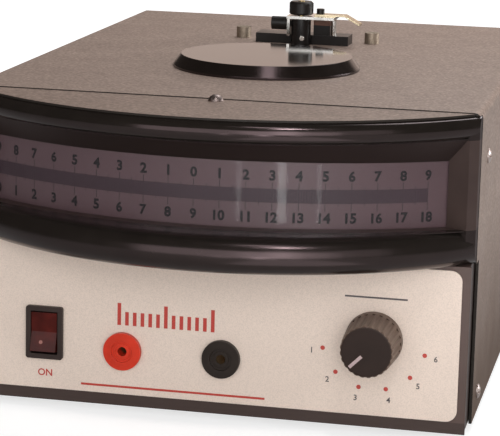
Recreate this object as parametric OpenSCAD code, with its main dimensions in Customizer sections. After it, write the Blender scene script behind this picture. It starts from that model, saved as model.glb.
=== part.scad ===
// Reflecting galvanometer: a bench instrument with a long curved scale in a projecting hood,
// a shunt selector and input sockets below it, and a suspension head on the case top.
// Frame: +X to the right of someone facing the scale, +Y away from them, +Z up.
// The origin is at the middle of the outline, on the surface that the feet stand on.

/* [Case] */
// Width over the sides of the cover
case_w = 204; // [190:1:230]
// Depth from the front panel's face to the rear panel's face
case_d = 272.5; // [262:0.5:320]
// Height from the lower edge of the case to its top
case_h = 125.7; // [124:0.1:140]
// Thickness of the folded sheet
sheet_t = 1.2; // [0.8:0.1:1.6]
// Outside bend radius along the cover's top edges
cover_bend_r = 3; // [2:0.5:5]
// Distance that the cover's front edge stands behind the front panel's face
cover_setback = 7.5; // [5:0.5:9]
// Distance that the cover's sides stand further back below the hood
side_cutback = 8; // [4:0.5:10]
// Distance that the cover's top reaches forward over the hood
top_reach = 4.5; // [3:0.5:6]
// Distance of the front panel's edges inside the cover's outer sides
panel_side = 1; // [0.8:0.1:1.6]
// Slip gap on each side between the chassis and the cover
chassis_gap = 0.4; // [0.2:0.1:0.6]
// Height of the chassis side flanges
flange_h = 14; // [12:1:18]
// Depth of the chassis uprights that hold the cover screws
upright_d = 36; // [32:1:42]
// Height of the chassis uprights above the lower edge
upright_h = 112; // [110:1:115]
// Height of the upper cover screws above the lower edge
screw_high = 104.6; // [100:0.1:107]
// Height of the lower cover screws above the lower edge
screw_low = 8.9; // [7:0.1:9.5]
// Distance of the cover screws from the panel faces
screw_inset = 32; // [26:1:36]
// Shank radius of the cover screws
screw_r = 1.5; // [1.25:0.25:2]
// Head radius of the cover screws
screw_head_r = 3; // [2.5:0.25:4]
// Head height of the cover screws
screw_head_h = 1.5; // [1:0.1:2]
// Height of the rubber feet
foot_h = 4; // [3:0.5:6]
// Radius of the rubber feet
foot_r = 8; // [7:0.5:10]
// Distance of the feet from the sides of the case
foot_inset_x = 27; // [20:1:40]
// Distance of the feet from the front and rear faces
foot_inset_y = 40; // [34:1:60]
// Distance of the vent slots from the right side of the case
vent_inset = 58; // [40:1:62]
// Length of a vent slot in the rear panel
vent_l = 24; // [16:1:30]
// Width of a vent slot
vent_w = 2.4; // [2:0.2:4]
// Number of vent slots
vent_count = 6; // [2:1:8]
// Radius of the clearance around pins, screws and barrels
fit_gap = 0.05; // [0.03:0.01:0.08]

/* [Scale hood] */
// Height of the hood's underside above the lower edge of the case
hood_low = 66.6; // [66:0.1:68]
// Plan radius of the hood's front
hood_r = 137; // [134:0.5:150]
// Distance that the hood bulges in front of the panel
hood_bulge = 45; // [42:0.5:48]
// Drop of the rounded lower rim below the window's lower edge
ledge_drop = 0.5; // [0.3:0.1:1]
// Radius of the rounded upper rim
top_bead_r = 4.25; // [4:0.05:5]
// Wall thickness of the hood moulding
hood_wall = 2.2; // [1.8:0.1:2.6]
// Distance that the visor plate's edge stands behind the upper rim
visor_edge = 3; // [2:0.1:4]
// Depth of the visor plate's face below the cover's top
visor_drop = 0.3; // [0.2:0.1:0.5]
// Gap along the seam between the visor plate and the cover
seam_gap = 0.8; // [0.5:0.1:1]
// Height of the visor screw's head
visor_head_h = 2.6; // [1.6:0.1:3]
// Distance of the visor screw in front of the seam
visor_screw_in = 4.5; // [4:0.1:6]
// Plan radius of the scale's printed face
scale_r = 164.25; // [160:0.25:168]
// Distance that the scale bulges in front of the panel
scale_bulge = 24; // [22:0.5:26]
// Height of the window's lower edge above the lower edge of the case
window_low = 81.5; // [81:0.1:83]
// Height of the window's upper edge above the lower edge of the case
window_high = 107; // [105:0.1:108]
// Half angle of the window about the scale's axis
window_half_angle = 32.9; // [32:0.1:34]
// Thickness of the scale strip
scale_t = 1.8; // [1.2:0.1:2.2]
// Thickness of the clear window
glass_t = 1; // [0.8:0.1:1.4]
// Margin of the scale strip hidden behind the hood at each edge
scale_margin = 1.6; // [1.2:0.1:1.8]
// Depth of the sloping throat in front of the window
throat_d = 7; // [5:0.5:8]
// Distance of the window's end wall from the case side at the rim
cheek_rim = 3.6; // [3:0.1:5]
// Width of a scale clip along the scale
clip_w = 8; // [6:1:12]
// Thickness of a scale clip
clip_t = 1; // [0.8:0.1:1.2]

/* [Front panel] */
// Thickness of the label plate
label_t = 0.8; // [0.5:0.1:1]
// Margin of the label at the panel's sides
label_side = 3.2; // [2.5:0.1:5]
// Height of the label's lower edge above the lower edge of the case
label_low = 5; // [4:0.1:6]
// Height of the label's upper edge above the lower edge of the case
label_high = 65; // [64:0.1:66]
// Corner radius of the label
label_r = 4.5; // [3:0.5:6]
// Distance of the power switch from the left side of the case
switch_inset = 34; // [30:0.5:42]
// Power switch height above the lower edge
switch_z = 28.2; // [24:0.1:34]
// Width of the power switch frame
switch_w = 15.1; // [14:0.1:17]
// Height of the power switch frame
switch_h = 21.5; // [20:0.1:24]
// Thickness of the power switch frame
switch_t = 1.8; // [1.4:0.1:2.2]
// Width of the visible rim of the switch frame
switch_rim = 2; // [1.8:0.1:2.4]
// Tilt of the rocker each side of its middle
rocker_tilt = 8; // [6:0.5:9]
// Radius of the rocker's pivot pins
rocker_pin_r = 1; // [0.8:0.1:1.2]
// Red socket place to the left of the centre
red_x = 35.8; // [30:0.1:40]
// Black socket place to the right of the centre
black_x = 4.3; // [0:0.1:10]
// Height of both sockets above the lower edge
socket_z = 23; // [20:0.1:30]
// Radius of a socket's flange
socket_flange_r = 7.6; // [7:0.1:8.5]
// Thickness of a socket's flange
socket_flange_t = 2.2; // [1.6:0.1:3]
// Radius of a socket's barrel
socket_barrel_r = 4.9; // [4.5:0.1:5.5]
// Length of a socket's barrel behind the panel
socket_barrel_l = 13; // [11:0.5:16]
// Outside radius of the contact sleeve
sleeve_r = 3; // [2.8:0.1:3.4]
// Radius of the plug bore
plug_r = 2; // [1.9:0.05:2.1]
// Depth of the plug bore
plug_depth = 15; // [12:0.5:17]
// Distance of the selector from the right side of the case
selector_inset = 37.4; // [32:0.1:44]
// Selector height above the lower edge
selector_z = 35.6; // [32:0.1:38]
// Radius of the knob at its rear
knob_rear_r = 11.3; // [10.5:0.1:13]
// Radius of the knob at its front
knob_front_r = 10.3; // [9.5:0.1:11]
// Length of the knob
knob_l = 19; // [16:0.5:22]
// Gap between the knob and the label
knob_gap = 0.6; // [0.4:0.1:1]
// Edge radius of the knob's front
knob_edge_r = 1.2; // [0.8:0.1:1.6]
// Number of flutes around the knob
flute_count = 24; // [12:1:30]
// Radius of a flute
flute_r = 1.1; // [0.9:0.1:1.3]
// Depth of a flute
flute_depth = 0.5; // [0.3:0.1:0.6]
// Radius of the selector shaft
shaft_r = 3; // [2.5:0.1:3.2]
// Radius of the threaded bush
bush_r = 4.7; // [4.4:0.1:5]
// Radius of the selector's housing
housing_r = 14; // [13:0.5:16]
// Length of the selector's housing
housing_l = 9; // [8:0.5:12]
// Radius of the contact wafer
wafer_r = 17; // [16:0.5:19]
// Thickness of the contact wafer
wafer_t = 1.6; // [1.2:0.1:2]
// Distance from the housing to the wafer
wafer_post_l = 12; // [10:0.5:16]
// Number of detent positions
positions = 6; // [3:1:8]
// Angle between detent positions
step_angle = 30; // [20:5:30]
// Position that the pointer shows, counted from the left
pointer_position = 2; // [1:1:6]
// Number of shunt resistors
resistor_count = 5; // [2:1:6]
// Radius of a shunt resistor
resistor_r = 1.8; // [1.4:0.1:2]
// Length of a shunt resistor
resistor_l = 10; // [8:0.5:14]

/* [Lamp] */
// Distance of the round cover's centre behind the panel face
lamp_y = 94.5; // [91:0.5:97]
// Radius of the round cover at its base
lid_r = 39.6; // [38.5:0.1:43]
// Radius of the round cover at its top edge
lid_top_r = 36.4; // [35:0.1:38]
// Height of the round cover
lid_h = 5.4; // [4:0.1:7]
// Radius of the opening under the round cover
lid_hole_r = 35; // [32:0.5:36]
// Length of the cover's spigot below the case top
lid_spigot_l = 5; // [3:0.5:8]
// Radial gap around the spigot
lid_gap = 0.35; // [0.3:0.05:0.5]
// Height of the lamp's axis above the lower edge
lamp_z = 72; // [66:0.5:76]
// Outside radius of the lamp tube
tube_r = 9; // [8:0.5:11]
// Wall of the lamp tube
tube_wall = 1; // [0.8:0.1:1.4]
// Length of the lamp tube
tube_l = 36; // [32:1:44]
// Radius of the bulb's glass
bulb_r = 5.5; // [5:0.1:6]

/* [Suspension head] */
// Distance of the suspension axis behind the panel face
head_y = 171; // [166:0.5:176]
// Radius of the suspension tube
post_r = 4.5; // [4:0.1:5]
// Height of the suspension tube above the case top
post_h = 12.2; // [11:0.1:14]
// Radius of the spindle
spindle_r = 1.5; // [1.2:0.1:1.8]
// Length of the spindle below the case top
spindle_low = 13; // [12:0.5:15]
// Radius of the torsion knob
torsion_r = 5.5; // [5:0.1:6]
// Height of the torsion knob
torsion_h = 6; // [5:0.1:8]
// Half width of the head block
block_half = 21.5; // [20:0.5:24]
// Height of the head block's raised step under the insulator
step_h = 4.6; // [4:0.1:5]
// Turn of the tube's lock screw from the front towards the right
lock_turn = 16; // [0:1:30]
// Depth of the head block
block_d = 12.5; // [11:0.5:14]
// Height of the head block
block_h = 4.3; // [4:0.1:5]
// Thickness of the bracket's sheet
bracket_t = 1.3; // [1:0.1:1.5]
// Reach of the bracket to the right of the axis
bracket_right = 16; // [15.5:0.1:18]
// Radius of the clamp screw's head
clamp_r = 3; // [2.6:0.1:3.2]
// Length of the clamp screw's head
clamp_l = 7.2; // [6:0.1:9]
// Height of the clamp screw above the case top
clamp_z = 9.6; // [9:0.1:10]
// Reach of the leaf spring to the right of the axis
spring_right = 27; // [24:0.5:30]
// Drop of the leaf spring's free end
spring_drop = 3.8; // [3:0.1:4.5]
// Thickness of the leaf spring
spring_t = 0.7; // [0.5:0.1:0.9]
// Spacing of the pillar screws to each side
pillar_x = 30.3; // [29:0.1:33]
// Distance of the pillars behind the suspension axis
pillar_back = 17; // [15:0.5:19]
// Head radius of the pillar screws
pillar_head_r = 3.35; // [3:0.05:3.6]
// Head height of the pillar screws
pillar_head_h = 5; // [4:0.1:6]

/* [Movement] */
// Height of the movement plate's underside above the lower edge
plate_z = 56; // [54:0.5:60]
// Thickness of the movement plate
plate_t = 3; // [2:0.5:4]
// Height of the pole pieces and magnet
pole_h = 22; // [20:0.5:24]
// Radius of the iron core
core_r = 6; // [5.5:0.1:6.2]
// Radius of the pole faces
pole_face_r = 8.4; // [8.3:0.1:9]
// Half width over the pole pieces
pole_half = 24; // [22:0.5:25]
// Half depth of the pole pieces
pole_half_d = 9; // [8.8:0.1:10]
// Depth of the magnet behind the pole pieces
magnet_d = 10; // [8:0.5:12]
// Thickness of the coil's sides
coil_t = 1.3; // [1:0.1:1.3]
// Depth of the coil
coil_d = 2; // [1.5:0.1:2.2]
// Radius of the mirror
mirror_r = 5; // [4:0.1:6]
// Thickness of the mirror
mirror_t = 1; // [0.8:0.1:1.2]
// Height of the mirror's centre above the coil
mirror_up = 8.5; // [7.5:0.1:9]
// Length of the lower suspension strip
strip_low_l = 12; // [10:0.5:14]

/* [Power] */
// Distance of the transformer's middle from the left side of the case
trafo_inset = 50; // [46:0.5:56]
// Distance of the transformer's middle in front of the rear face
trafo_back = 58; // [54:0.5:64]
// Width of the transformer core
trafo_w = 44; // [40:1:48]
// Stack depth of the transformer core
trafo_d = 18; // [16:1:22]
// Height of the transformer core
trafo_h = 38; // [36:1:42]
// Width of the core's outer limbs and yokes
trafo_limb = 7; // [6:0.5:7.5]
// Overhang of the winding on each side of the core
winding_out = 8; // [6:0.5:10]
// Distance of the fuse holder from the left side of the case
fuse_inset = 72; // [66:0.5:76]
// Fuse holder height above the lower edge
fuse_z = 44; // [40:0.5:50]
// Radius of the fuse holder's body
fuse_r = 6; // [5:0.1:7]
// Length of the fuse holder's body inside the rear panel
fuse_l = 24; // [20:0.5:28]
// Length of the fuse cap behind the rear panel
fuse_cap_l = 9; // [7:0.5:12]
// Distance of the mains gland from the left side of the case
gland_inset = 36; // [30:0.5:46]
// Mains gland height above the lower edge
gland_z = 30; // [26:0.5:36]
// Radius of the gland's cable bore
gland_bore_r = 4; // [3:0.25:4.5]
// Radius of the gland's barrel
gland_r = 6.4; // [6:0.1:7]
// Length of the gland's barrel inside the rear panel
gland_l = 9; // [8:0.5:12]
// Thickness of the gland's flange
gland_flange_t = 5; // [4:0.5:7]

/* [Hidden] */
$fn = 128;
// Overlap of a cut past the face that it opens
cut = 1;
// Gap between bodies that move past each other
run_gap = 0.3;

// Outline along Y: the hood leads and the fuse cap trails
fuse_flange_t = 2.5;
overall_d = hood_bulge + case_d + fuse_flange_t + fuse_cap_l;
panel_y = hood_bulge - overall_d / 2;
face_y = panel_y - label_t;
rear_y = panel_y + case_d;
cover_y = panel_y + cover_setback;
seam_y = cover_y - top_reach;

// Heights
base_z = foot_h;
floor_z = base_z + sheet_t;
top_z = base_z + case_h;
hood_z = base_z + hood_low;
under_z = top_z - sheet_t;

// Half widths
in_half = case_w / 2 - sheet_t;
chassis_half = in_half - chassis_gap;
panel_half = case_w / 2 - panel_side;
hood_half = case_w / 2 - chassis_gap / 2;

// Screw places on the sides
screw_y = [panel_y + screw_inset, rear_y - screw_inset];
screw_z = [base_z + screw_low, base_z + screw_high];
screw_l = 6;
foot_y = [panel_y + foot_inset_y, rear_y - foot_inset_y];
foot_x = case_w / 2 - foot_inset_x;
foot_head_r = screw_head_r + 0.2;
foot_head_h = 2;

// Hood and scale
hood_axis_y = panel_y - hood_bulge + hood_r;
scale_axis_y = panel_y - scale_bulge + scale_r;
hood_back_y = cover_y - chassis_gap / 2;
low_bead_r = (window_low - ledge_drop - hood_low) / 2;
low_disc_top = hood_z + 2 * low_bead_r;
top_disc_low = under_z - 2 * top_bead_r;
// Depth that the lips and the scale space run into the discs
seat = 0.4;
glass_gap = 0.1;
glass_in_r = scale_r + glass_gap;
glass_out_r = glass_in_r + glass_t;
scale_in_r = scale_r - scale_t;
strip_low = base_z + window_low - scale_margin;
strip_high = base_z + window_high + scale_margin;
strip_half_angle = window_half_angle + 1.2;
visor_r = hood_r - visor_edge;
visor_front = hood_axis_y - visor_r;
visor_top = top_z - visor_drop;
visor_screw_y = seam_y - visor_screw_in;
clip_angle = window_half_angle - 4;
clip_span = clip_w / scale_in_r * 180 / PI;

// Front panel
switch_cx = switch_inset - case_w / 2;
switch_cz = base_z + switch_z;
switch_wall = 0.95;
switch_body_l = 14;
rocker_half_w = switch_w / 2 - switch_rim;
rocker_half_h = switch_h / 2 - switch_rim;
pivot_y = face_y + 1;
socket_cz = base_z + socket_z;
nut_t = 3;
selector_x = case_w / 2 - selector_inset;
selector_cz = base_z + selector_z;
bush_front_y = face_y - 5;
housing_y = panel_y + sheet_t;
wafer_y = housing_y + housing_l + wafer_post_l;
rotor_r = 7;
resistor_step = 45;
knob_rear_y = face_y - knob_gap;
knob_face_y = knob_rear_y - knob_l;
shaft_front_y = knob_face_y + 3;
pointer_angle = (pointer_position - (positions + 1) / 2) * step_angle;
pointer_w = 1.2;
pointer_depth = 0.6;
pointer_in = 2.5;
pointer_out = knob_front_r - knob_edge_r - 0.2;

// Lamp
lamp_cy = panel_y + lamp_y;
lamp_cz = base_z + lamp_z;
tube_y0 = lamp_cy - 5;
tube_in_r = tube_r - tube_wall;
bracket_half = tube_r + 5;
lamp_wall_t = 1.5;
lamp_wall_y = lamp_cy + 8;
holder_bore_r = 4.8;
bulb_cy = lamp_cy + bulb_r - 1.5;
lens_y = tube_y0 + tube_l - 5;

// Suspension head
head_cy = panel_y + head_y;
block_y = head_cy + 2.5;
block_top = top_z + block_h;
step_top = block_top + step_h;
bracket_top = top_z + post_h + bracket_t;
leg_x = -post_r - 0.15;
knob_low = bracket_top + 0.5;
post_low_r = post_r - 1;
post_low = 9;
lock_r = 1.1;
lock_z = top_z + 3.6;
lock_seat_y = head_cy - post_r + 0.6;
clamp_cz = top_z + clamp_z;
clamp_shank_r = 1.2;
pillar_y = head_cy + pillar_back;
pillar_r = 3.5;
pillar_shank_r = 1.5;
pillar_tap = 12;
insulator_x = [post_r + 0.8, bracket_right - 3];
insulator_y = [block_y + 0.5, block_y + 8.5];
pin_r = 1.2;
pin_x = bracket_right - pin_r - 0.3;
spring_x = torsion_r + 0.6;
spring_y = [head_cy, head_cy + 7];
spring_bend_x = spring_right - 7;
spring_screw_x = spring_x + 2;
spring_screw_y = head_cy + 4.5;

// Movement
pole_low = base_z + plate_z + plate_t;
pole_top = pole_low + pole_h;
core_low = pole_low + 1;
core_top = pole_top - 1;
coil_in = core_r + 0.5;
coil_out = coil_in + coil_t;
coil_low = core_low - 1.5 - coil_t;
coil_top = core_top + 1.5 + coil_t;
stem_r = 0.7;
stem_top = top_z - spindle_low - run_gap;
mirror_z = coil_top + mirror_up;
strut_half = 2;
plate_edge = 4;
plate_front = pole_half_d + 3;
strap_z = coil_low - run_gap - strip_low_l;
strap_half = 12;
strap_t = 1.5;

// Power
trafo_cx = trafo_inset - case_w / 2;
trafo_cy = rear_y - trafo_back;
window_w = (trafo_w - 4 * trafo_limb) / 2;
gland_x = case_w / 2 - gland_inset;
gland_cz = base_z + gland_z;
gland_nut_t = 4;
fuse_x = case_w / 2 - fuse_inset;
fuse_cz = base_z + fuse_z;
vent_x = case_w / 2 - vent_inset - vent_l;

// Box between two corners
module slab(x, y, z) {
    translate([x[0], y[0], z[0]]) cube([x[1] - x[0], y[1] - y[0], z[1] - z[0]]);
}

// Cylinder along Z from one height to another
module rod_z(x, y, r, z) {
    translate([x, y, z[0]]) cylinder(r = r, h = z[1] - z[0]);
}

// Cylinder along Y between two places
module rod_y(x, z, r, y) {
    translate([x, y[0], z]) rotate([-90, 0, 0]) cylinder(r = r, h = y[1] - y[0]);
}

// Cylinder along X between two places
module rod_x(y, z, r, x) {
    translate([x[0], y, z]) rotate([0, 90, 0]) cylinder(r = r, h = x[1] - x[0]);
}

// Six-sided nut blank along Y
module hex_y(x, z, flats, y) {
    translate([x, y[0], z]) rotate([-90, 0, 0]) cylinder(d = flats / cos(30), h = y[1] - y[0], $fn = 6);
}

// Raised screw head standing on the XY plane, with its slot along Y
module raised_head(r, h) {
    rim_h = 0.5;
    crown_h = h - rim_h;
    ball_r = (r ^ 2 + crown_h ^ 2) / (2 * crown_h);
    difference() {
        union() {
            cylinder(r = r, h = rim_h);
            intersection() {
                translate([0, 0, h - ball_r]) sphere(ball_r);
                translate([0, 0, rim_h]) cylinder(r = r, h = h);
            }
        }
        slab([-0.4, 0.4], [-r - cut, r + cut], [h / 2, h + cut]);
    }
}

// Rectangle with round corners, standing in the XZ plane, extruded along Y
module round_plate(x, z, w, h, r, y) {
    translate([x, y[1], z]) rotate([90, 0, 0]) linear_extrude(y[1] - y[0]) {
        square([w - 2 * r, h], center = true);
        square([w, h - 2 * r], center = true);
        for (i = [-1, 1], j = [-1, 1]) translate([i * (w / 2 - r), j * (h / 2 - r)]) circle(r);
    }
}

// Cover section: an upside-down channel with two round top corners
module cover_section(half, low, high, r) {
    translate([-half, low]) square([2 * half, high - r - low]);
    translate([-half + r, low]) square([2 * (half - r), high - low]);
    for (i = [-1, 1]) translate([i * (half - r), high - r]) circle(r);
}

// Ring sector about a vertical axis, centred on the direction towards the viewer
module front_sector(axis_y, half_angle) {
    translate([0, axis_y, 0]) rotate([0, 0, -90 - half_angle])
        rotate_extrude(angle = 2 * half_angle, $fn = 180) children();
}

// Holes in the front panel and its label
module panel_holes(y) {
    gap = chassis_gap / 2;
    body_w = 2 * (rocker_half_w + switch_wall + gap);
    body_h = 2 * (rocker_half_h + switch_wall + gap);
    slab([switch_cx - body_w / 2, switch_cx + body_w / 2], y,
        [switch_cz - body_h / 2, switch_cz + body_h / 2]);
    for (x = [-red_x, black_x]) rod_y(x, socket_cz, socket_barrel_r + fit_gap, y);
    rod_y(selector_x, selector_cz, bush_r + fit_gap, y);
}

// Folded sheet base with the front panel, the rear panel and the side flanges
module chassis() {
    color("dimgray") difference() {
        union() {
            slab([-panel_half, panel_half], [panel_y, panel_y + sheet_t], [base_z, hood_z]);
            slab([-chassis_half, chassis_half], [panel_y, cover_y], [hood_z - sheet_t, hood_z]);
            slab([-chassis_half, chassis_half], [panel_y, rear_y], [base_z, floor_z]);
            translate([0, rear_y, 0]) rotate([90, 0, 0]) linear_extrude(sheet_t)
                cover_section(chassis_half, base_z, under_z, cover_bend_r);
            for (s = [0, 1]) mirror([s, 0, 0]) {
                x = [chassis_half - sheet_t, chassis_half];
                slab(x, [panel_y, rear_y], [base_z, base_z + flange_h]);
                slab(x, [panel_y, cover_y], [base_z, hood_z]);
                slab(x, [cover_y, cover_y + upright_d], [base_z, base_z + upright_h]);
                slab(x, [rear_y - upright_d, rear_y], [base_z, base_z + upright_h]);
            }
        }
        panel_holes([panel_y - cut, panel_y + sheet_t + cut]);
        for (y = screw_y, z = screw_z)
            rod_x(y, z, screw_r + fit_gap, [-case_w / 2, case_w / 2]);
        for (x = [-foot_x, foot_x], y = foot_y) rod_z(x, y, screw_r + fit_gap, [base_z - cut, floor_z + cut]);
        rod_y(-fuse_x, fuse_cz, fuse_r + fit_gap, [rear_y - sheet_t - cut, rear_y + cut]);
        rod_y(-gland_x, gland_cz, gland_r + fit_gap, [rear_y - sheet_t - cut, rear_y + cut]);
        for (i = [0 : vent_count - 1])
            slab([vent_x, vent_x + vent_l], [rear_y - sheet_t - cut, rear_y + cut],
                [fuse_cz + 3 * vent_w * i, fuse_cz + 3 * vent_w * i + vent_w]);
    }
}

// Folded top and sides, slipped over the chassis, with the top's front edge on the hood
module case_cover() {
    color("rosybrown") difference() {
        translate([0, rear_y, 0]) rotate([90, 0, 0]) linear_extrude(rear_y - seam_y) difference() {
            cover_section(case_w / 2, base_z, top_z, cover_bend_r);
            cover_section(in_half, base_z - cut, under_z, cover_bend_r - sheet_t);
        }
        slab([-case_w / 2 - cut, case_w / 2 + cut], [seam_y - cut, cover_y], [base_z - cut, under_z]);
        slab([-case_w / 2 - cut, case_w / 2 + cut], [cover_y - cut, cover_y + side_cutback],
            [base_z - cut, hood_z]);
        rod_z(0, lamp_cy, lid_hole_r, [under_z - cut, top_z + cut]);
        rod_z(0, head_cy, post_low_r + fit_gap, [under_z - cut, top_z + cut]);
        for (s = [-1, 1])
            rod_z(s * pillar_x, pillar_y, pillar_shank_r + fit_gap, [under_z - cut, top_z + cut]);
        for (y = screw_y, z = screw_z)
            rod_x(y, z, screw_r + fit_gap, [-case_w / 2 - cut, case_w / 2 + cut]);
    }
}

// Side screws that hold the cover to the chassis flanges
module cover_screws() {
    color("gray") for (s = [0, 1], y = screw_y, z = screw_z) mirror([s, 0, 0]) {
        rod_x(y, z, screw_r, [case_w / 2 - screw_l, case_w / 2]);
        translate([case_w / 2, y, z]) rotate([0, 90, 0]) raised_head(screw_head_r, screw_head_h);
    }
}

// Rubber feet with a pocket for the screw head
module feet() {
    color("black") for (x = [-foot_x, foot_x], y = foot_y) difference() {
        rod_z(x, y, foot_r, [0, base_z]);
        rod_z(x, y, foot_head_r, [-cut, foot_head_h]);
        rod_z(x, y, screw_r + fit_gap, [0, base_z + cut]);
    }
}

// Screws through the feet into the chassis floor
module foot_screws() {
    color("gray") for (x = [-foot_x, foot_x], y = foot_y) {
        rod_z(x, y, screw_head_r, [foot_head_h - screw_head_h, foot_head_h]);
        rod_z(x, y, screw_r, [foot_head_h, floor_z + 3]);
    }
}

// Half-round edged disc that forms one rim of the hood, hollowed from behind
module hood_disc(low, high) {
    bead = (high - low) / 2;
    pocket_r = hood_r - 2 * bead - hood_wall;
    difference() {
        translate([0, hood_axis_y, 0]) rotate_extrude($fn = 180) {
            translate([hood_r - bead, low + bead]) intersection() {
                circle(bead, $fn = 48);
                translate([0, -bead]) square(2 * bead);
            }
            translate([0, low]) square([hood_r - bead, high - low]);
        }
        rod_z(0, hood_axis_y, pocket_r, [low + hood_wall, high - hood_wall]);
    }
}

// End wall of the window, sloping from the scale out to the rim
module hood_cheek() {
    tip_x = (glass_out_r - cut) * sin(window_half_angle);
    tip_y = scale_axis_y - (glass_out_r - cut) * cos(window_half_angle);
    rim_x = case_w / 2 - cheek_rim;
    rim_y = hood_axis_y - sqrt((hood_r - 0.8) ^ 2 - rim_x ^ 2);
    side_y = hood_axis_y - sqrt((hood_r - 0.2) ^ 2 - hood_half ^ 2);
    translate([0, 0, hood_z + low_bead_r]) linear_extrude(under_z - top_bead_r - hood_z - low_bead_r)
        polygon([[tip_x, tip_y], [rim_x, rim_y], [hood_half, side_y],
            [hood_half, hood_back_y], [tip_x, hood_back_y]]);
}

// Sloping lip between the window's edge and the face of one disc
module hood_lip(edge, disc_face, into_disc) {
    back_r = scale_in_r - cut;
    throat_r = glass_out_r + throat_d;
    front_sector(scale_axis_y, strip_half_angle + 2)
        polygon([[back_r, edge], [glass_out_r, edge], [throat_r, disc_face],
            [throat_r, disc_face + into_disc], [back_r, disc_face + into_disc]]);
}

// Black moulding that frames the scale
module scale_hood() {
    color("black") difference() {
        intersection() {
            union() {
                hood_disc(hood_z, low_disc_top);
                hood_disc(top_disc_low, under_z);
                hood_lip(base_z + window_low, low_disc_top, -seat);
                hood_lip(base_z + window_high, top_disc_low, seat);
                for (s = [0, 1]) mirror([s, 0, 0]) hood_cheek();
            }
            slab([-hood_half, hood_half], [panel_y - hood_bulge - cut, hood_back_y],
                [hood_z - cut, under_z + cut]);
        }
        rod_z(0, scale_axis_y, glass_out_r, [strip_low - glass_gap, strip_high + glass_gap]);
        rod_z(0, scale_axis_y, scale_in_r, [low_disc_top - seat, top_disc_low + seat]);
        rod_z(0, visor_screw_y, screw_r + fit_gap, [under_z - hood_wall - cut, under_z + cut]);
    }
}

// Painted plate that roofs the hood in front of the cover
module visor_plate() {
    color("rosybrown") difference() {
        translate([0, 0, under_z]) linear_extrude(visor_top - under_z) intersection() {
            translate([0, hood_axis_y]) circle(visor_r, $fn = 180);
            translate([-hood_half, visor_front - cut])
                square([2 * hood_half, seam_y - seam_gap - visor_front + cut]);
        }
        rod_z(0, visor_screw_y, screw_r + fit_gap, [under_z - cut, top_z + cut]);
    }
}

// Screw that holds the visor plate to the hood
module visor_screw() {
    color("silver") union() {
        rod_z(0, visor_screw_y, screw_r, [under_z - 4, visor_top]);
        translate([0, visor_screw_y, visor_top]) rotate([0, 0, 90]) raised_head(screw_head_r, visor_head_h);
    }
}

// Curved translucent scale
module scale_strip() {
    color("slategray") front_sector(scale_axis_y, strip_half_angle)
        translate([scale_in_r, strip_low]) square([scale_t, strip_high - strip_low]);
}

// Curved clear window in front of the scale
module scale_window() {
    color("lightblue", 0.4) front_sector(scale_axis_y, strip_half_angle)
        translate([glass_in_r, strip_low]) square([glass_t, strip_high - strip_low]);
}

// Two spring clips that hold the scale against the hood from behind
module scale_clips() {
    color("silver") for (s = [-1, 1])
        translate([0, scale_axis_y, 0]) rotate([0, 0, -90 + s * clip_angle - clip_span / 2])
            rotate_extrude(angle = clip_span, $fn = 180)
                translate([scale_in_r - clip_t, strip_low]) square([clip_t, top_disc_low - strip_low]);
}

// Printed label plate on the front panel
module front_label() {
    w = 2 * (panel_half - label_side);
    h = label_high - label_low;
    color("antiquewhite") difference() {
        round_plate(0, base_z + label_low + h / 2, w, h, label_r, [face_y, panel_y]);
        panel_holes([face_y - cut, panel_y + cut]);
    }
}

// Power switch: frame, body and pivot holes for the rocker
module switch_body() {
    half_w = rocker_half_w + switch_wall;
    half_h = rocker_half_h + switch_wall;
    y = [face_y, panel_y + sheet_t + switch_body_l];
    color("black") difference() {
        union() {
            round_plate(switch_cx, switch_cz, switch_w, switch_h, 1, [face_y - switch_t, face_y]);
            slab([switch_cx - half_w, switch_cx + half_w], y, [switch_cz - half_h, switch_cz + half_h]);
        }
        slab([switch_cx - rocker_half_w, switch_cx + rocker_half_w], [face_y - switch_t - cut, face_y + 9],
            [switch_cz - rocker_half_h, switch_cz + rocker_half_h]);
        rod_x(pivot_y, switch_cz, rocker_pin_r + fit_gap,
            [switch_cx - half_w - cut, switch_cx + half_w + cut]);
    }
}

// Rocker of the power switch, at rest with its lower end out
module switch_rocker() {
    half_w = rocker_half_w - run_gap;
    half_h = rocker_half_h - 0.35;
    // Distances in front of and behind the pivot
    waist = 2.6;
    end = 4;
    heel = 3.5;
    reach = half_h - end * sin(rocker_tilt);
    color("darkred") translate([switch_cx, pivot_y, switch_cz]) rotate([-rocker_tilt, 0, 0]) union() {
        translate([-half_w, 0, 0]) rotate([90, 0, 90]) linear_extrude(2 * half_w)
            polygon([[-end, reach], [-waist, 0], [-end, -reach], [0.5, -reach],
                [heel, -3], [heel, 3], [0.5, reach]]);
        rod_x(0, 0, rocker_pin_r, [-half_w - switch_wall, half_w + switch_wall]);
    }
}

// Insulating body of one input socket
module socket_body(x) {
    difference() {
        union() {
            rod_y(x, socket_cz, socket_flange_r, [face_y - socket_flange_t, face_y]);
            rod_y(x, socket_cz, socket_barrel_r, [face_y, panel_y + sheet_t + socket_barrel_l]);
        }
        rod_y(x, socket_cz, sleeve_r + 1.4, [face_y - socket_flange_t - cut, face_y - socket_flange_t + 0.9]);
        rod_y(x, socket_cz, sleeve_r + fit_gap,
            [face_y - socket_flange_t - cut, panel_y + sheet_t + socket_barrel_l + cut]);
    }
}

module red_socket() {
    color("red") socket_body(-red_x);
}

module black_socket() {
    color("black") socket_body(black_x);
}

// Plated contact sleeves with the plug bores and their rear solder tails
module socket_sleeves() {
    front = face_y - socket_flange_t + 0.9;
    back = panel_y + sheet_t + socket_barrel_l;
    color("gold") for (x = [-red_x, black_x]) difference() {
        union() {
            rod_y(x, socket_cz, sleeve_r, [front, back]);
            rod_y(x, socket_cz, 1, [back, back + 6]);
        }
        rod_y(x, socket_cz, plug_r, [front - cut, front + plug_depth]);
    }
}

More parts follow.
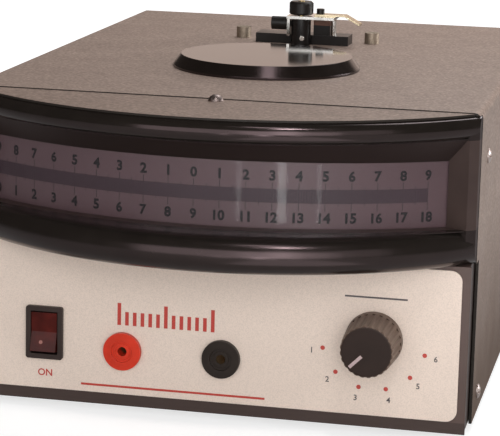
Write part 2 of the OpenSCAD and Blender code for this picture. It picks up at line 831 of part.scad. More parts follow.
// Nuts behind the panel on the socket barrels
module socket_nuts() {
    y = [panel_y + sheet_t, panel_y + sheet_t + nut_t];
    color("silver") for (x = [-red_x, black_x]) difference() {
        hex_y(x, socket_cz, 2 * socket_barrel_r + 4, y);
        rod_y(x, socket_cz, socket_barrel_r + fit_gap, [y[0] - cut, y[1] + cut]);
    }
}

// Selector housing with its threaded bush
module selector_body() {
    color("silver") difference() {
        union() {
            rod_y(selector_x, selector_cz, bush_r, [bush_front_y, housing_y]);
            rod_y(selector_x, selector_cz, housing_r, [housing_y, housing_y + housing_l]);
        }
        rod_y(selector_x, selector_cz, shaft_r + fit_gap, [bush_front_y - cut, housing_y + housing_l + cut]);
    }
}

// Nut on the bush, hidden in the back of the knob
module selector_nut() {
    color("silver") difference() {
        hex_y(selector_x, selector_cz, 2 * bush_r + 3, [face_y - 2.4, face_y]);
        rod_y(selector_x, selector_cz, bush_r + fit_gap, [face_y - 2.4 - cut, face_y + cut]);
    }
}

// Selector shaft from the knob to the rotor
module selector_shaft() {
    color("silver") rod_y(selector_x, selector_cz, shaft_r, [shaft_front_y, wafer_y + wafer_t + 2]);
}

// Selector knob: slightly tapered and fluted, hollow at the back for the bush and nut
module selector_knob() {
    hollow_r = bush_r + 3.6;
    edge_x = knob_front_r - knob_edge_r;
    edge_z = knob_l - knob_edge_r;
    shaft_depth = knob_rear_y - shaft_front_y;
    taper = atan((knob_rear_r - knob_front_r) / edge_z);
    skirt = 3;
    flute_x = knob_rear_r - skirt * tan(taper) + flute_r - flute_depth;
    color("saddlebrown") translate([selector_x, knob_rear_y, selector_cz]) rotate([90, 0, 0]) difference() {
        rotate_extrude() {
            polygon([[0, 0], [knob_rear_r, 0], [knob_front_r, edge_z],
                [edge_x, edge_z], [edge_x, knob_l], [0, knob_l]]);
            translate([edge_x, edge_z]) circle(knob_edge_r, $fn = 48);
        }
        translate([0, 0, -cut]) cylinder(r = hollow_r, h = cut + face_y - bush_front_y + 0.4);
        translate([0, 0, -cut]) cylinder(r = shaft_r + fit_gap, h = cut + shaft_depth + fit_gap);
        pointer_bar(cut);
        for (i = [0 : flute_count - 1]) rotate([0, 0, i * 360 / flute_count])
            translate([flute_x, 0, skirt]) rotate([0, -taper, 0]) cylinder(r = flute_r, h = knob_l);
    }
}

// Bar that the pointer fills, in the knob's own frame with its axis along Z
module pointer_bar(past_face) {
    rotate([0, 0, pointer_angle - 90]) translate([pointer_in, -pointer_w / 2, knob_l - pointer_depth])
        cube([pointer_out - pointer_in, pointer_w, pointer_depth + past_face]);
}

// White pointer line let into the knob's face
module knob_pointer() {
    color("white") translate([selector_x, knob_rear_y, selector_cz]) rotate([90, 0, 0]) pointer_bar(0);
}

// Posts between the selector housing and the wafer
module wafer_posts() {
    color("silver") for (s = [-1, 1])
        rod_y(selector_x + s * (housing_r - 2), selector_cz, 1.6, [housing_y + housing_l, wafer_y]);
}

// Insulating wafer with the fixed contacts
module selector_wafer() {
    color("peru") difference() {
        rod_y(selector_x, selector_cz, wafer_r, [wafer_y, wafer_y + wafer_t]);
        rod_y(selector_x, selector_cz, rotor_r + run_gap, [wafer_y - cut, wafer_y + wafer_t + cut]);
    }
}

// Rotor that the shaft turns inside the wafer
module selector_rotor() {
    color("gold") difference() {
        rod_y(selector_x, selector_cz, rotor_r, [wafer_y, wafer_y + wafer_t]);
        rod_y(selector_x, selector_cz, shaft_r + fit_gap, [wafer_y - cut, wafer_y + wafer_t + cut]);
    }
}

// Shunt resistors standing on the wafer's rear face
module shunt_resistors() {
    ring_r = (wafer_r + rotor_r) / 2;
    color("sienna") for (i = [0 : resistor_count - 1]) {
        angle = i * resistor_step - 90;
        rod_y(selector_x + ring_r * cos(angle), selector_cz + ring_r * sin(angle), resistor_r,
            [wafer_y + wafer_t, wafer_y + wafer_t + resistor_l]);
    }
}

// Round lift-off cover over the lamp, with its spigot
module lamp_cover() {
    color("black") translate([0, lamp_cy, top_z]) union() {
        rotate_extrude() polygon([[0, 0], [lid_r, 0], [lid_r, 1], [lid_top_r, lid_h], [0, lid_h]]);
        translate([0, 0, -sheet_t - lid_spigot_l]) difference() {
            cylinder(r = lid_hole_r - lid_gap, h = sheet_t + lid_spigot_l);
            translate([0, 0, -cut]) cylinder(r = lid_hole_r - lid_gap - 2, h = sheet_t + lid_spigot_l + cut);
        }
    }
}

// Bent bracket that carries the lamp tube from the chassis floor
module lamp_bracket() {
    foot_d = 24;
    color("silver") difference() {
        union() {
            slab([-bracket_half, bracket_half], [lamp_wall_y, lamp_wall_y + foot_d],
                [floor_z, floor_z + lamp_wall_t]);
            slab([-bracket_half, bracket_half], [lamp_wall_y, lamp_wall_y + lamp_wall_t],
                [floor_z, lamp_cz + tube_r + 3]);
        }
        rod_y(0, lamp_cz, tube_r + fit_gap, [lamp_wall_y - cut, lamp_wall_y + lamp_wall_t + cut]);
    }
}

// Blackened tube from the lamp to the condenser lens
module lamp_tube() {
    color("black") difference() {
        rod_y(0, lamp_cz, tube_r, [tube_y0, tube_y0 + tube_l]);
        rod_y(0, lamp_cz, tube_in_r, [tube_y0 - cut, tube_y0 + tube_l + cut]);
    }
}

// Holder in the front end of the tube that takes the bulb
module lamp_holder() {
    color("gray") difference() {
        union() {
            rod_y(0, lamp_cz, tube_r, [tube_y0 - 8, tube_y0]);
            rod_y(0, lamp_cz, tube_in_r - fit_gap, [tube_y0, tube_y0 + 2]);
        }
        rod_y(0, lamp_cz, holder_bore_r + fit_gap, [tube_y0 - 5, tube_y0 + 2 + cut]);
    }
}

// Bulb with its cap in the holder
module lamp_bulb() {
    color("lightyellow") union() {
        rod_y(0, lamp_cz, holder_bore_r, [tube_y0 - 5, bulb_cy]);
        translate([0, bulb_cy, lamp_cz]) sphere(bulb_r);
    }
}

// Condenser lens in the rear end of the tube
module condenser_lens() {
    curve_r = 18;
    half_t = 2.5;
    color("lightblue", 0.5) intersection() {
        rod_y(0, lamp_cz, tube_in_r - fit_gap, [lens_y - half_t - 1, lens_y + half_t + 1]);
        translate([0, lens_y + curve_r - half_t, lamp_cz]) sphere(curve_r);
        translate([0, lens_y - curve_r + half_t, lamp_cz]) sphere(curve_r);
    }
}

// Turns a feature of the tube's front to the lock screw's place
module at_lock() {
    translate([0, head_cy, 0]) rotate([0, 0, lock_turn]) translate([0, -head_cy, 0]) children();
}

// Tube that the suspension hangs in, shouldered on the case top
module suspension_tube() {
    color("black") difference() {
        union() {
            rod_z(0, head_cy, post_r, [top_z, top_z + post_h]);
            rod_z(0, head_cy, post_low_r, [top_z - post_low, top_z]);
        }
        rod_z(0, head_cy, spindle_r + fit_gap, [top_z - post_low - cut, top_z + post_h + cut]);
        at_lock() rod_y(0, lock_z, lock_r + fit_gap, [head_cy - post_r - cut, lock_seat_y]);
    }
}

// Nut that pulls the suspension tube down from inside
module tube_nut() {
    color("silver") difference() {
        translate([0, head_cy, under_z - nut_t])
            cylinder(d = (2 * post_low_r + 4) / cos(30), h = nut_t, $fn = 6);
        rod_z(0, head_cy, post_low_r + fit_gap, [under_z - nut_t - cut, under_z + cut]);
    }
}

// Bright lock screw in the front of the suspension tube
module tube_lock_screw() {
    color("white") at_lock() rod_y(0, lock_z, lock_r, [head_cy - post_r - 0.7, lock_seat_y]);
}

// Spindle that the upper suspension hangs from
module torsion_spindle() {
    color("gold") union() {
        rod_z(0, head_cy, spindle_r, [top_z - spindle_low, knob_low + torsion_h + 0.4]);
        rod_z(0, head_cy, spindle_r + 1, [top_z - spindle_low, top_z - post_low - run_gap]);
    }
}

// Zero-setting knob on the spindle
module torsion_knob() {
    color("black") difference() {
        translate([0, head_cy, knob_low]) rotate_extrude()
            polygon([[0, 0], [torsion_r - 0.6, 0], [torsion_r, 0.6], [torsion_r, torsion_h - 0.8],
                [torsion_r - 0.8, torsion_h], [0, torsion_h]]);
        rod_z(0, head_cy, spindle_r + fit_gap, [knob_low - cut, knob_low + torsion_h + cut]);
    }
}

// Block behind the suspension tube that carries the bracket, with a step for the insulator
module head_block() {
    color("black") difference() {
        union() {
            slab([-block_half, block_half], [block_y, block_y + block_d], [top_z, block_top]);
            slab(insulator_x, insulator_y, [top_z, step_top]);
        }
        rod_z(0, head_cy, post_r + fit_gap, [top_z - cut, step_top + cut]);
    }
}

// Plated bracket over the tube: one leg on the left and a flat top
module head_bracket() {
    color("white") difference() {
        union() {
            slab([leg_x - bracket_t, leg_x], [head_cy - 3.5, block_y + 8], [block_top, bracket_top]);
            slab([leg_x - bracket_t, bracket_right], [head_cy - 5, block_y + 8],
                [bracket_top - bracket_t, bracket_top]);
        }
        rod_z(0, head_cy, spindle_r + 0.2, [block_top, bracket_top + cut]);
        rod_x(head_cy, clamp_cz, clamp_shank_r + fit_gap, [leg_x - bracket_t - cut, leg_x + cut]);
        rod_z(spring_screw_x, spring_screw_y, 1 + fit_gap, [block_top, bracket_top + cut]);
    }
}

// Brown insulating block under the bracket's right side
module insulating_block() {
    color("saddlebrown") difference() {
        slab(insulator_x, insulator_y, [step_top, bracket_top - bracket_t]);
        rod_z(spring_screw_x, spring_screw_y, 1 + fit_gap, [step_top - cut, bracket_top]);
    }
}

// Bright pin that props the bracket's right end
module bracket_pin() {
    color("white") rod_z(pin_x, block_y + pin_r + 0.4, pin_r, [block_top, bracket_top - bracket_t]);
}

// Leaf spring on the bracket, with its free end bent down
module leaf_spring() {
    z = bracket_top;
    color("wheat") difference() {
        translate([0, spring_y[1], 0]) rotate([90, 0, 0]) linear_extrude(spring_y[1] - spring_y[0])
            polygon([[spring_x, z], [spring_bend_x, z], [spring_right, z - spring_drop],
                [spring_right, z - spring_drop + spring_t * 1.15],
                [spring_bend_x, z + spring_t], [spring_x, z + spring_t]]);
        rod_z(spring_screw_x, spring_screw_y, 1 + fit_gap, [z - cut, z + spring_t + cut]);
    }
}

// Small black screw that holds the leaf spring
module spring_screw() {
    z = bracket_top + spring_t;
    color("black") union() {
        rod_z(spring_screw_x, spring_screw_y, 1.8, [z, z + 2.2]);
        rod_z(spring_screw_x, spring_screw_y, 1, [step_top + 0.2, z]);
    }
}

// Thumb screw that clamps the suspension tube from the left
module clamp_screw() {
    tip_x = leg_x + 0.05;
    head_x = leg_x - bracket_t - run_gap;
    color("black") union() {
        rod_x(head_cy, clamp_cz, clamp_r, [head_x - clamp_l, head_x]);
        rod_x(head_cy, clamp_cz, clamp_shank_r, [head_x, tip_x]);
    }
}

// Bright slotted screws that hold the movement pillars to the case top
module pillar_screws() {
    color("silver") for (s = [-1, 1]) {
        rod_z(s * pillar_x, pillar_y, pillar_shank_r, [under_z - pillar_tap + 2, top_z]);
        difference() {
            rod_z(s * pillar_x, pillar_y, pillar_head_r, [top_z, top_z + pillar_head_h]);
            slab([s * pillar_x - pillar_head_r - cut, s * pillar_x + pillar_head_r + cut],
                [pillar_y - 0.5, pillar_y + 0.5], [top_z + pillar_head_h - 1.2, top_z + pillar_head_h + cut]);
        }
    }
}

// Pillars that hang the movement plate below the case top
module movement_pillars() {
    color("gold") for (s = [-1, 1]) difference() {
        union() {
            rod_z(s * pillar_x, pillar_y, pillar_r, [pole_low, under_z]);
            rod_z(s * pillar_x, pillar_y, 2, [base_z + plate_z, pole_low]);
        }
        rod_z(s * pillar_x, pillar_y, pillar_shank_r + fit_gap, [under_z - pillar_tap, under_z + cut]);
    }
}

// Plate that carries the magnet system
module movement_plate() {
    z = [base_z + plate_z, pole_low];
    color("silver") difference() {
        slab([-pillar_x - pillar_r - plate_edge, pillar_x + pillar_r + plate_edge],
            [head_cy - plate_front, pillar_y + pillar_r + plate_edge], z);
        rod_z(0, head_cy, coil_out + 2, [z[0] - cut, z[1] + cut]);
        for (s = [-1, 1]) rod_z(s * pillar_x, pillar_y, 2 + fit_gap, [z[0] - cut, z[1] + cut]);
    }
}

// Magnet that bridges the pole pieces at the back
module magnet() {
    y = head_cy + pole_half_d;
    color("dimgray") slab([-pole_half, pole_half], [y, y + magnet_d], [pole_low, pole_top]);
}

// Two soft iron pole pieces with hollowed faces
module pole_pieces() {
    color("gray") for (s = [0, 1]) mirror([s, 0, 0]) difference() {
        slab([2 * strut_half, pole_half], [head_cy - pole_half_d, head_cy + pole_half_d],
            [pole_low, pole_top]);
        rod_z(0, head_cy, pole_face_r, [pole_low - cut, pole_top + cut]);
    }
}

// Iron core inside the coil
module iron_core() {
    color("gray") rod_z(0, head_cy, core_r, [core_low, core_top]);
}

// Brass strut that holds the core to the magnet through the open side of the coil
module core_strut() {
    z = (core_low + core_top) / 2;
    color("gold") difference() {
        slab([-strut_half, strut_half], [head_cy, head_cy + pole_half_d], [z - 3, z + 3]);
        rod_z(0, head_cy, core_r, [z - 4, z + 4]);
    }
}

// Moving coil with its stem and upper suspension strip
module moving_coil() {
    color("chocolate") union() {
        difference() {
            slab([-coil_out, coil_out], [head_cy - coil_d / 2, head_cy + coil_d / 2], [coil_low, coil_top]);
            slab([-coil_in, coil_in], [head_cy - coil_d, head_cy + coil_d],
                [coil_low + coil_t, coil_top - coil_t]);
        }
        rod_z(0, head_cy, stem_r, [coil_top - coil_t / 2, mirror_z + mirror_r + 2]);
        slab([-0.5, 0.5], [head_cy - 0.15, head_cy + 0.15], [mirror_z + mirror_r + 1, stem_top]);
    }
}

// Round mirror on the coil's stem, facing the scale
module mirror_disc() {
    color("lightgray") rod_y(0, mirror_z, mirror_r, [head_cy - stem_r - mirror_t, head_cy - stem_r]);
}

// Strap under the plate that anchors the lower suspension strip
module lower_strap() {
    z = base_z + plate_z;
    color("gold") union() {
        for (s = [-1, 1])
            slab([s * strap_half - strap_t / 2, s * strap_half + strap_t / 2], [head_cy - 3, head_cy + 3],
                [strap_z - strap_t, z]);
        slab([-strap_half, strap_half], [head_cy - 3, head_cy + 3], [strap_z - strap_t, strap_z]);
        slab([-0.5, 0.5], [head_cy - 0.15, head_cy + 0.15], [strap_z - strap_t / 2, coil_low - run_gap]);
    }
}

// Laminated core with two windows
module transformer_core() {
    color("dimgray") translate([trafo_cx, trafo_cy, floor_z]) difference() {
        translate([-trafo_w / 2, -trafo_d / 2, 0]) cube([trafo_w, trafo_d, trafo_h]);
        for (s = [-1, 1])
            translate([s * (trafo_limb + window_w / 2) - window_w / 2, -trafo_d / 2 - cut, trafo_limb])
                cube([window_w, trafo_d + 2 * cut, trafo_h - 2 * trafo_limb]);
    }
}

// Winding around the core's middle limb
module transformer_winding() {
    gap = 0.1;
    outer = trafo_limb + window_w - gap;
    depth = trafo_d / 2 + winding_out;
    height = trafo_h - 2 * trafo_limb - 2 * gap;
    color("chocolate") translate([trafo_cx, trafo_cy, floor_z + trafo_limb + gap]) difference() {
        translate([-outer, -depth, 0]) cube([2 * outer, 2 * depth, height]);
        translate([-trafo_limb - gap, -trafo_d / 2 - gap, -cut])
            cube([2 * (trafo_limb + gap), trafo_d + 2 * gap, height + 2 * cut]);
    }
}

// Fuse holder in the rear panel with its slotted cap
module fuse_holder() {
    y = rear_y + fuse_flange_t;
    color("black") difference() {
        union() {
            rod_y(-fuse_x, fuse_cz, fuse_r, [rear_y - sheet_t - fuse_l, rear_y]);
            rod_y(-fuse_x, fuse_cz, fuse_r + 2.5, [rear_y, y]);
            rod_y(-fuse_x, fuse_cz, fuse_r + 0.5, [y, y + fuse_cap_l]);
        }
        slab([-fuse_x - fuse_r - cut, -fuse_x + fuse_r + cut], [y + fuse_cap_l - 1.2, y + fuse_cap_l + cut],
            [fuse_cz - 0.6, fuse_cz + 0.6]);
    }
}

// Gland in the rear panel for the mains lead
module mains_gland() {
    color("black") difference() {
        union() {
            rod_y(-gland_x, gland_cz, gland_r, [rear_y - sheet_t - gland_l, rear_y]);
            rod_y(-gland_x, gland_cz, gland_r + 3, [rear_y, rear_y + gland_flange_t]);
        }
        rod_y(-gland_x, gland_cz, gland_bore_r,
            [rear_y - sheet_t - gland_l - cut, rear_y + gland_flange_t + cut]);
    }
}

// Nut inside the rear panel on the gland
module gland_nut() {
    y = [rear_y - sheet_t - gland_nut_t, rear_y - sheet_t];
    color("silver") difference() {
        hex_y(-gland_x, gland_cz, 2 * gland_r + 5, y);
        rod_y(-gland_x, gland_cz, gland_r + fit_gap, [y[0] - cut, y[1] + cut]);
    }
}

chassis();
case_cover();
cover_screws();
feet();
foot_screws();
scale_hood();
visor_plate();
visor_screw();
scale_strip();
scale_window();
scale_clips();
front_label();
switch_body();
switch_rocker();
red_socket();
black_socket();
socket_sleeves();
socket_nuts();
selector_body();
selector_nut();
selector_shaft();
selector_knob();
knob_pointer();
wafer_posts();
selector_wafer();
selector_rotor();
shunt_resistors();
lamp_cover();
lamp_bracket();
lamp_tube();
lamp_holder();
lamp_bulb();
condenser_lens();
suspension_tube();
tube_nut();
tube_lock_screw();
torsion_spindle();
torsion_knob();
head_block();
head_bracket();
insulating_block();
bracket_pin();
leaf_spring();
spring_screw();
clamp_screw();
pillar_screws();
movement_pillars();
movement_plate();
magnet();
pole_pieces();
iron_core();
core_strut();
moving_coil();
mirror_disc();
lower_strap();
transformer_core();
transformer_winding();
fuse_holder();
mains_gland();
gland_nut();
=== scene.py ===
"""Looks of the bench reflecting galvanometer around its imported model.

Everything is in metres, in the model's own frame: +X to the right of someone facing the scale,
+Y away from them, +Z up from the surface that the feet stand on.
"""

import math

import bmesh
import bpy
from mathutils import Euler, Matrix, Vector


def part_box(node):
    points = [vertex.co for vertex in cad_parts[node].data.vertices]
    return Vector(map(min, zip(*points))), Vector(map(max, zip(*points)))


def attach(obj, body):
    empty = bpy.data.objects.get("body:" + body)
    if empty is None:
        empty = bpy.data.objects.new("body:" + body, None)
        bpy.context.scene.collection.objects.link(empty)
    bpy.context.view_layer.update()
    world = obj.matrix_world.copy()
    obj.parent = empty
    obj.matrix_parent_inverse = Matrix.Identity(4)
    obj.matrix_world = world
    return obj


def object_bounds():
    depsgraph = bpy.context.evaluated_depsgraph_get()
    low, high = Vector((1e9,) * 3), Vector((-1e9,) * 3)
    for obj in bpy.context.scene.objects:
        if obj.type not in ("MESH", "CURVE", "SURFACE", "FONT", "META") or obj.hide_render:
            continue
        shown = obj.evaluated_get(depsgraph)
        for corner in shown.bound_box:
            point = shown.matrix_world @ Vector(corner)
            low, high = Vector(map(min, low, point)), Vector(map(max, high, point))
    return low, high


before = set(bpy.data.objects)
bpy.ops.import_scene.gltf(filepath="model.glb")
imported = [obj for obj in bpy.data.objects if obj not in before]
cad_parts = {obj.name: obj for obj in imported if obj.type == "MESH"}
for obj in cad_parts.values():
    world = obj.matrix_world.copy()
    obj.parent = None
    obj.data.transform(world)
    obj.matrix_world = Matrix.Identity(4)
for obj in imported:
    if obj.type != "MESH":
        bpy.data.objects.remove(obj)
cad_low, cad_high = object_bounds()

MM = 0.001

# Heights between the hood's two rims
HOOD_RECESS = (85.2 * MM, 119.8 * MM)

# Height of the front panel's foot, darkened as painted shade, and heights over which the painted shade low
# on the case's sides fades out
PANEL_FOOT_Z = 8.6 * MM
LOW_SHADE_Z = (15 * MM, 86 * MM)

# Printed scale: one figure every centimetre along the arc
SCALE_R = 164.25 * MM
SCALE_STEP = 10 * MM
SCALE_ZERO_ANGLE = math.radians(-1)
SCALE_HALF_COUNT = 9
FIGURE_H = 4.1 * MM
FIGURE_WEIGHT = 0.042
TOP_FIGURES_Z = 105.7 * MM
LOW_FIGURES_Z = 89.6 * MM
BAND_LOW_Z = 95.2 * MM
BAND_HIGH_Z = 100.6 * MM
PRINT_T = 0.03 * MM

# Lines of the scale: widths, room left from a figure's middle, reach of the half lines past the band
LINES_PER_STEP = 10
LONG_LINE_W = 0.28 * MM
HALF_LINE_W = 0.30 * MM
FINE_LINE_W = 0.26 * MM
FIGURE_ROOM = 2.6 * MM
HALF_LINE_REACH = 0.8 * MM

# Selector's dots and numbers on the front label
DIAL_X = 64.5 * MM
DIAL_Z = 40.1 * MM
DIAL_DOT_R = 20.7 * MM
DIAL_NUMBER_R = 25.2 * MM
DIAL_NUMBER_H = 2.3 * MM
DIAL_COUNT = 6
DIAL_STEP = math.radians(30)
DOT_R = 0.9 * MM

# Switch word, row of ticks and rules on the front label
LABEL_WEIGHT = 0.02
SWITCH_WORD_Z = 15.5 * MM
SWITCH_WORD_H = 2.9 * MM
TICK_COUNT = 13
TICK_ROW_X = (-37.5 * MM, 0.5 * MM)
TICK_FOOT_Z = 37.4 * MM
TICK_W = 1.5 * MM
TICK_LONG = 9.0 * MM
TICK_SHORT = 5.5 * MM
FOOT_RULE_X = (-53 * MM, 22 * MM)
FOOT_RULE_Z = (11.6 * MM, 12.5 * MM)
DIAL_RULE_X = (52.6 * MM, 77.1 * MM)
DIAL_RULE_Z = (55.9 * MM, 56.6 * MM)

# Lips of the sockets: radii, reach in front of the contact sleeves, depth inside them
LIP_R = (1.97 * MM, 3.2 * MM)
LIP_REACH = (0.02 * MM, 0.4 * MM)
LINING_R = (1.85 * MM, 1.97 * MM)
LINING_REACH = 0.35 * MM
RED_LINING_DEPTH = 5.0 * MM
BLACK_LINING_DEPTH = 0.2 * MM

# Painted highlight on the rocker: a pale dot, placed by shares of the rocker's width and height
ROCKER_GLINT_R = 0.75 * MM
ROCKER_GLINT_ACROSS = 0.42
ROCKER_GLINT_UP = 0.26

# Camera: focal length and sensor in millimetres, place in metres, turns in degrees
CAMERA_LENS = 159.65
CAMERA_SENSOR = 36
CAMERA_PLACE = (0.18666, -0.94207, 0.26262)
CAMERA_TURN = (78.004, -1.3785, 12.133)

# Floor: half its width, and distances over which its shadow fades into the background
FLOOR_HALF = 6.0
SHADOW_FADE = (0.25, 0.8)

# Part of the surround that is pale in gloss: how far back and how low a ray points
PALE_BACK = (0.86, 0.95)
PALE_LOW = (0.45, 0.20)

# Warm cast of the surround in reflections
SURROUND_WARM = (1.0, 0.79, 0.68)

# Tint of the gloss on the dark mouldings
GLOSS_WARM = (1.0, 0.72, 0.76)

# Radii that edges are worn to, by finish
HAMMERED_EDGE_R = 0.4 * MM
MOULDED_EDGE_R = 0.35 * MM
SATIN_EDGE_R = 0.3 * MM
METAL_EDGE_R = 0.2 * MM

# Colours of painted shade on the painted sheets: on their front-facing cut edges, and low on their sides
EDGE_SHADE = (0.02, 0.015, 0.012)
LOW_SHADE = (0.085, 0.043, 0.022)

# Print colours
INK_DARK = (0.008, 0.005, 0.007)
INK_VIOLET = (0.040, 0.026, 0.034)
BAND_VIOLET = (0.070, 0.037, 0.049)
INK_RED = (0.44, 0.035, 0.022)
INK_GREY = (0.07, 0.055, 0.055)
# Colour of the painted highlight on the rocker
GLINT_PINK = (0.31, 0.12, 0.095)

# Axis that the scale curves round, and plane of the label's face
scale_axis_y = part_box("scale_strip")[0].y + SCALE_R
label_face_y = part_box("front_label")[0].y


class Surface:
    """A principled material in the making, with the textures that feed it."""

    def __init__(self, name, roughness=0.5, metallic=0.0, **constants):
        self.material = bpy.data.materials.new(name)
        self.material.use_nodes = True
        self.nodes = self.material.node_tree.nodes
        self.links = self.material.node_tree.links
        self.nodes.clear()
        output = self.nodes.new("ShaderNodeOutputMaterial")
        self.shader = self.nodes.new("ShaderNodeBsdfPrincipled")
        self.links.new(self.shader.outputs["BSDF"], output.inputs["Surface"])
        self.shader.inputs["Roughness"].default_value = roughness
        self.shader.inputs["Metallic"].default_value = metallic
        for socket, value in constants.items():
            self.shader.inputs[socket.replace("_", " ")].default_value = value
        coordinates = self.nodes.new("ShaderNodeTexCoord")
        self.place = coordinates.outputs["Object"]

    def stretched(self, x, y, z):
        """Object coordinates with each axis multiplied, for drawn-out grain."""
        mapping = self.nodes.new("ShaderNodeMapping")
        mapping.inputs["Scale"].default_value = (x, y, z)
        self.links.new(self.place, mapping.inputs["Vector"])
        return mapping.outputs["Vector"]

    def height(self):
        """Distance above the surface that the feet stand on."""
        split = self.nodes.new("ShaderNodeSeparateXYZ")
        self.links.new(self.place, split.inputs["Vector"])
        return split.outputs["Z"]

    def noise(self, scale, detail=2.0, where=None):
        texture = self.nodes.new("ShaderNodeTexNoise")
        texture.inputs["Scale"].default_value = scale
        texture.inputs["Detail"].default_value = detail
        self.links.new(where or self.place, texture.inputs["Vector"])
        return texture.outputs["Fac"]

    def cells(self, scale, smoothness=0.6):
        texture = self.nodes.new("ShaderNodeTexVoronoi")
        texture.feature = "SMOOTH_F1"
        texture.inputs["Scale"].default_value = scale
        texture.inputs["Smoothness"].default_value = smoothness
        self.links.new(self.place, texture.inputs["Vector"])
        return texture.outputs["Distance"]

    def rings(self, scale, axis):
        texture = self.nodes.new("ShaderNodeTexWave")
        texture.wave_type = "BANDS"
        texture.bands_direction = axis
        texture.inputs["Scale"].default_value = scale
        texture.inputs["Distortion"].default_value = 0.6
        self.links.new(self.place, texture.inputs["Vector"])
        return texture.outputs["Fac"]

    def ramp(self, factor, *stops):
        """Colours or grey values along a factor, as (position, value) pairs."""
        ramp = self.nodes.new("ShaderNodeValToRGB")
        elements = ramp.color_ramp.elements
        while len(elements) < len(stops):
            elements.new(0.5)
        for element, (position, value) in zip(elements, stops):
            element.position = position
            colour = value if isinstance(value, tuple) else grey(value)
            element.color = (*colour, 1)
        self.links.new(factor, ramp.inputs["Fac"])
        return ramp.outputs["Color"]

    def mix(self, factor, first, second):
        """The first colour, turning into the second as the factor rises."""
        mix = self.nodes.new("ShaderNodeMix")
        mix.data_type = "RGBA"
        inputs = (mix.inputs[0], mix.inputs[6], mix.inputs[7])
        for socket, value in zip(inputs, (factor, first, second)):
            if isinstance(value, tuple):
                socket.default_value = (*value, 1)
            elif isinstance(value, (int, float)):
                socket.default_value = value
            else:
                self.links.new(value, socket)
        return mix.outputs[2]

    def streaked(self, flow, colour, lift):
        """The colour, lighter in streaks where the flow is strong."""
        return self.mix(self.ramp(flow, (0.35, 0.0), (0.7, 0.6)), colour, shade(colour, lift))

    def soft_normal(self, radius):
        """Normal of the surface with its edges rounded off."""
        bevel = self.nodes.new("ShaderNodeBevel")
        bevel.samples = 4
        bevel.inputs["Radius"].default_value = radius
        return bevel.outputs["Normal"]

    def worn_edges(self, radius):
        """Grey value that rises on edges rounded off by handling."""
        geometry = self.nodes.new("ShaderNodeNewGeometry")
        dot = self.nodes.new("ShaderNodeVectorMath")
        dot.operation = "DOT_PRODUCT"
        self.links.new(self.soft_normal(radius), dot.inputs[0])
        self.links.new(geometry.outputs["Normal"], dot.inputs[1])
        return self.ramp(dot.outputs["Value"], (0.80, 1.0), (0.99, 0.0))

    def facing(self, axis, start, end):
        """Grey value that rises from 0 to 1 on faces that look along the axis."""
        geometry = self.nodes.new("ShaderNodeNewGeometry")
        dot = self.nodes.new("ShaderNodeVectorMath")
        dot.operation = "DOT_PRODUCT"
        dot.inputs[1].default_value = axis
        self.links.new(geometry.outputs["Normal"], dot.inputs[0])
        return self.ramp(dot.outputs["Value"], (start, 0.0), (end, 1.0))

    def band(self, value, low, high):
        """1 where the value lies between low and high, 0 elsewhere."""
        above = self.nodes.new("ShaderNodeMath")
        above.operation = "GREATER_THAN"
        above.inputs[1].default_value = low
        below = self.nodes.new("ShaderNodeMath")
        below.operation = "LESS_THAN"
        below.inputs[1].default_value = high
        both = self.nodes.new("ShaderNodeMath")
        both.operation = "MULTIPLY"
        self.links.new(value, above.inputs[0])
        self.links.new(value, below.inputs[0])
        self.links.new(above.outputs[0], both.inputs[0])
        self.links.new(below.outputs[0], both.inputs[1])
        return both.outputs[0]

    def feed(self, socket, output):
        self.links.new(output, self.shader.inputs[socket])

    def bump(self, height, distance, strength=0.5, edge_radius=0.0):
        """Relief of the surface, over edges softened by edge_radius."""
        bump = self.nodes.new("ShaderNodeBump")
        bump.inputs["Strength"].default_value = strength
        bump.inputs["Distance"].default_value = distance
        self.links.new(height, bump.inputs["Height"])
        if edge_radius:
            self.links.new(self.soft_normal(edge_radius), bump.inputs["Normal"])
        self.links.new(bump.outputs["Normal"], self.shader.inputs["Normal"])


def grey(level):
    """A grey as a colour."""
    return (level, level, level)


def shade(colour, factor):
    """The colour made lighter or darker."""
    return tuple(min(1.0, part * factor) for part in colour)


def hammered_paint(name, colour):
    """Stoved hammer-finish paint: dimpled and mottled, with painted shade on its front-facing cut edges and
    low on its sides.
    """
    surface = Surface(name, Specular_IOR_Level=0.22)
    dimples = surface.cells(430)
    blotches = surface.noise(38, 3)
    speckle = surface.noise(900, 2)
    dark, light = shade(colour, 0.62), shade(colour, 1.45)
    flecked = surface.ramp(speckle, (0.30, dark), (0.50, colour), (0.70, light))
    mottled = surface.mix(surface.ramp(dimples, (0.1, 0.0), (0.8, 0.5)), flecked, shade(colour, 0.66))
    clouded = surface.mix(surface.ramp(blotches, (0.35, 0.0), (0.7, 0.10)), mottled, shade(colour, 0.7))
    # Painted shade: the sides darken towards the bottom
    foot = surface.ramp(surface.height(), (LOW_SHADE_Z[0], 1.0), (LOW_SHADE_Z[1], 0.0))
    low_shaded = surface.mix(foot, clouded, LOW_SHADE)
    worn = surface.mix(surface.worn_edges(HAMMERED_EDGE_R), low_shaded, shade(colour, 1.15))
    # Painted shade: faces that look forward, such as the cut edges in the seams and the visor's front edge,
    # are darkened
    surface.feed("Base Color", surface.mix(surface.facing((0, -1, 0), 0.45, 0.6), worn, EDGE_SHADE))
    surface.feed("Roughness", surface.ramp(blotches, (0.3, 0.46), (0.7, 0.56)))
    surface.bump(dimples, 0.16 * MM, 0.6, HAMMERED_EDGE_R)
    return surface.material


